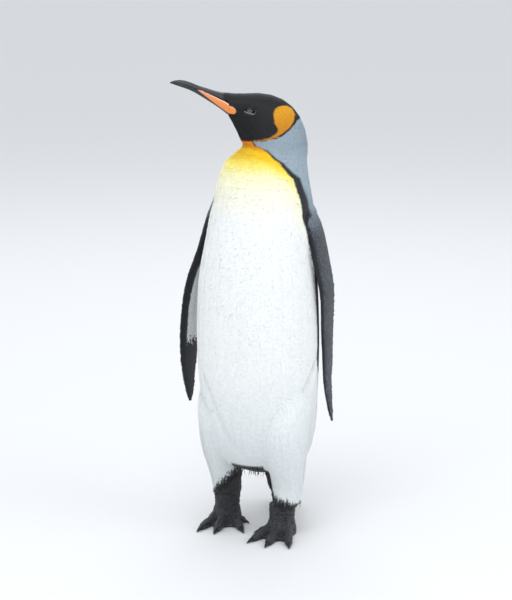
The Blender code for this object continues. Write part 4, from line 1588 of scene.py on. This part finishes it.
loose_vanes("tail_feathers", np.array(roots), np.array(tips), np.array(widths), np.array(colours),
            np.array(flats), np.full(len(roots), 2 * MM), SLATE_PLUMAGE, (QUILL_CORNERS, QUILL_FACES))

# %% [markdown]
# ## Tufts on ankles and under the belly
# Above the shank the plumage ends in dark loose tufts. They are vanes made narrow that start in a
# band along the border and hang down a little out of line.

# %% Tufts on ankles and under the belly
TUFT_SPACING = 1.7 * MM
TUFT_LENGTH = 15.0 * MM
tuft_rise = above_ankle(skin_places)
inner_side = np.where(skin_places[:, 0] > 0.0173, skin_places[:, 0] < 0.083, skin_places[:, 0] > -0.048)
in_band = (tuft_rise > -3) & (tuft_rise < np.where(inner_side, 16, 7)) & (skin_places[:, 2] < 0.125)
under = (skin_places[:, 2] < 0.141) & (skin_places[:, 2] > 0.11) & (abs(skin_places[:, 0] - 0.02) < 0.03) \
    & (skin_normals[:, 2] < -0.35) & (skin_places[:, 1] < 0.05)
wanted = np.nonzero(in_band | under)[0]
chance = np.random.default_rng(77)
wanted = wanted[chance.random(len(wanted)) < 0.85]
grain = np.unique(np.round(skin_places[wanted] / TUFT_SPACING).astype(int), axis=0, return_index=True)[1]
wanted = wanted[np.sort(grain)]
tuft_roots, tuft_normals = skin_places[wanted], skin_normals[wanted]
count = len(wanted)
hang = np.array((0, 0, -1.0)) + chance.normal(0, 0.2, (count, 3))
hang = hang + tuft_normals * np.where(under[wanted], 0.25, 0.30)[:, None]
hang /= np.linalg.norm(hang, axis=1, keepdims=True)
long = TUFT_LENGTH * chance.uniform(0.5, 1.0, count) * np.where(under[wanted], 1.25, 0.8)
long = np.minimum(long, tuft_roots[:, 2] - 20 * MM)
flat = tuft_normals + hang * 0.01
flat /= np.linalg.norm(flat, axis=1, keepdims=True)
tints = np.where(chance.random(count)[:, None] < 0.12, linear(150, 154, 156), ANKLE_BLACK)
loose_vanes("tufts_ankles_and_vent", tuft_roots - tuft_normals * 0.5 * MM, tuft_roots + hang * long[:, None],
            chance.uniform(0.9, 1.7, count) * MM, np.repeat(tints, len(VANE_CORNERS), axis=0), flat,
            np.full(count, 1.2 * MM), VELVET_PLUMAGE, (VANE_CORNERS, VANE_FACES))


# %% [markdown]
# ## The finish of the skin
# The skin carries the same colours as the feathers, so no pale ground shows through a gap. Where it
# is bare, on the feet, cells give the pebbles and noise the wrinkles between them; the raised tops are
# glossier from wear and painted paler as a painted highlight, the wrinkles darker as painted shade.

# %% Skin colours
skin_parts = parts_at(skin_places)
skin_tint = skin_mesh.attributes.new("plumage", "FLOAT_COLOR", "POINT")
skin_colours = plumage(skin_places, skin_normals, skin_parts)
skin_tint.data.foreach_set("color", np.concatenate((skin_colours, np.ones((len(skin_places), 1))), axis=1)
                           .astype(np.float32).ravel())
bare_skin, shader = principled("bare_skin")
tree = bare_skin.node_tree
tint = add(tree, "Attribute", {"attribute_name": "plumage"})
place = add(tree, "TexCoord")
pebbles = add(tree, "TexVoronoi", {"feature": "DISTANCE_TO_EDGE"},
              Vector=place.outputs["Object"], Scale=330.0)
wrinkles = add(tree, "TexNoise", None, Vector=place.outputs["Object"],
               Scale=120.0, Detail=7.0, Roughness=0.7)
tops = add(tree, "MapRange", None, _0=pebbles.outputs[0], _1=0.0, _2=0.16, _3=0.0, _4=0.65)
height = add(tree, "Math", {"operation": "ADD"}, _0=tops.outputs[0], _1=wrinkles.outputs["Fac"])
# Pebble tops are painted paler and the wrinkles between them darker: painted highlight and painted shade in
# the colour.
light = add(tree, "MapRange", None, _0=height.outputs[0], _1=0.55, _2=1.1, _3=0.3, _4=2.1)
pebble_highlight_and_shade = add(tree, "VectorMath", {"operation": "SCALE"}, _0=tint.outputs["Color"], Scale=light.outputs[0])
shine = add(tree, "MapRange", None, _0=height.outputs[0], _1=0.4, _2=1.2, _3=0.6, _4=0.26)
relief = add(tree, "Bump", None, Height=height.outputs[0], Strength=0.9, Distance=0.0016)
tree.links.new(pebble_highlight_and_shade.outputs[0], shader.inputs["Base Color"])
tree.links.new(shine.outputs[0], shader.inputs["Roughness"])
tree.links.new(relief.outputs["Normal"], shader.inputs["Normal"])
skin_mesh.materials.append(bare_skin)

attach(flesh, "root")
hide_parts(*FLESH)
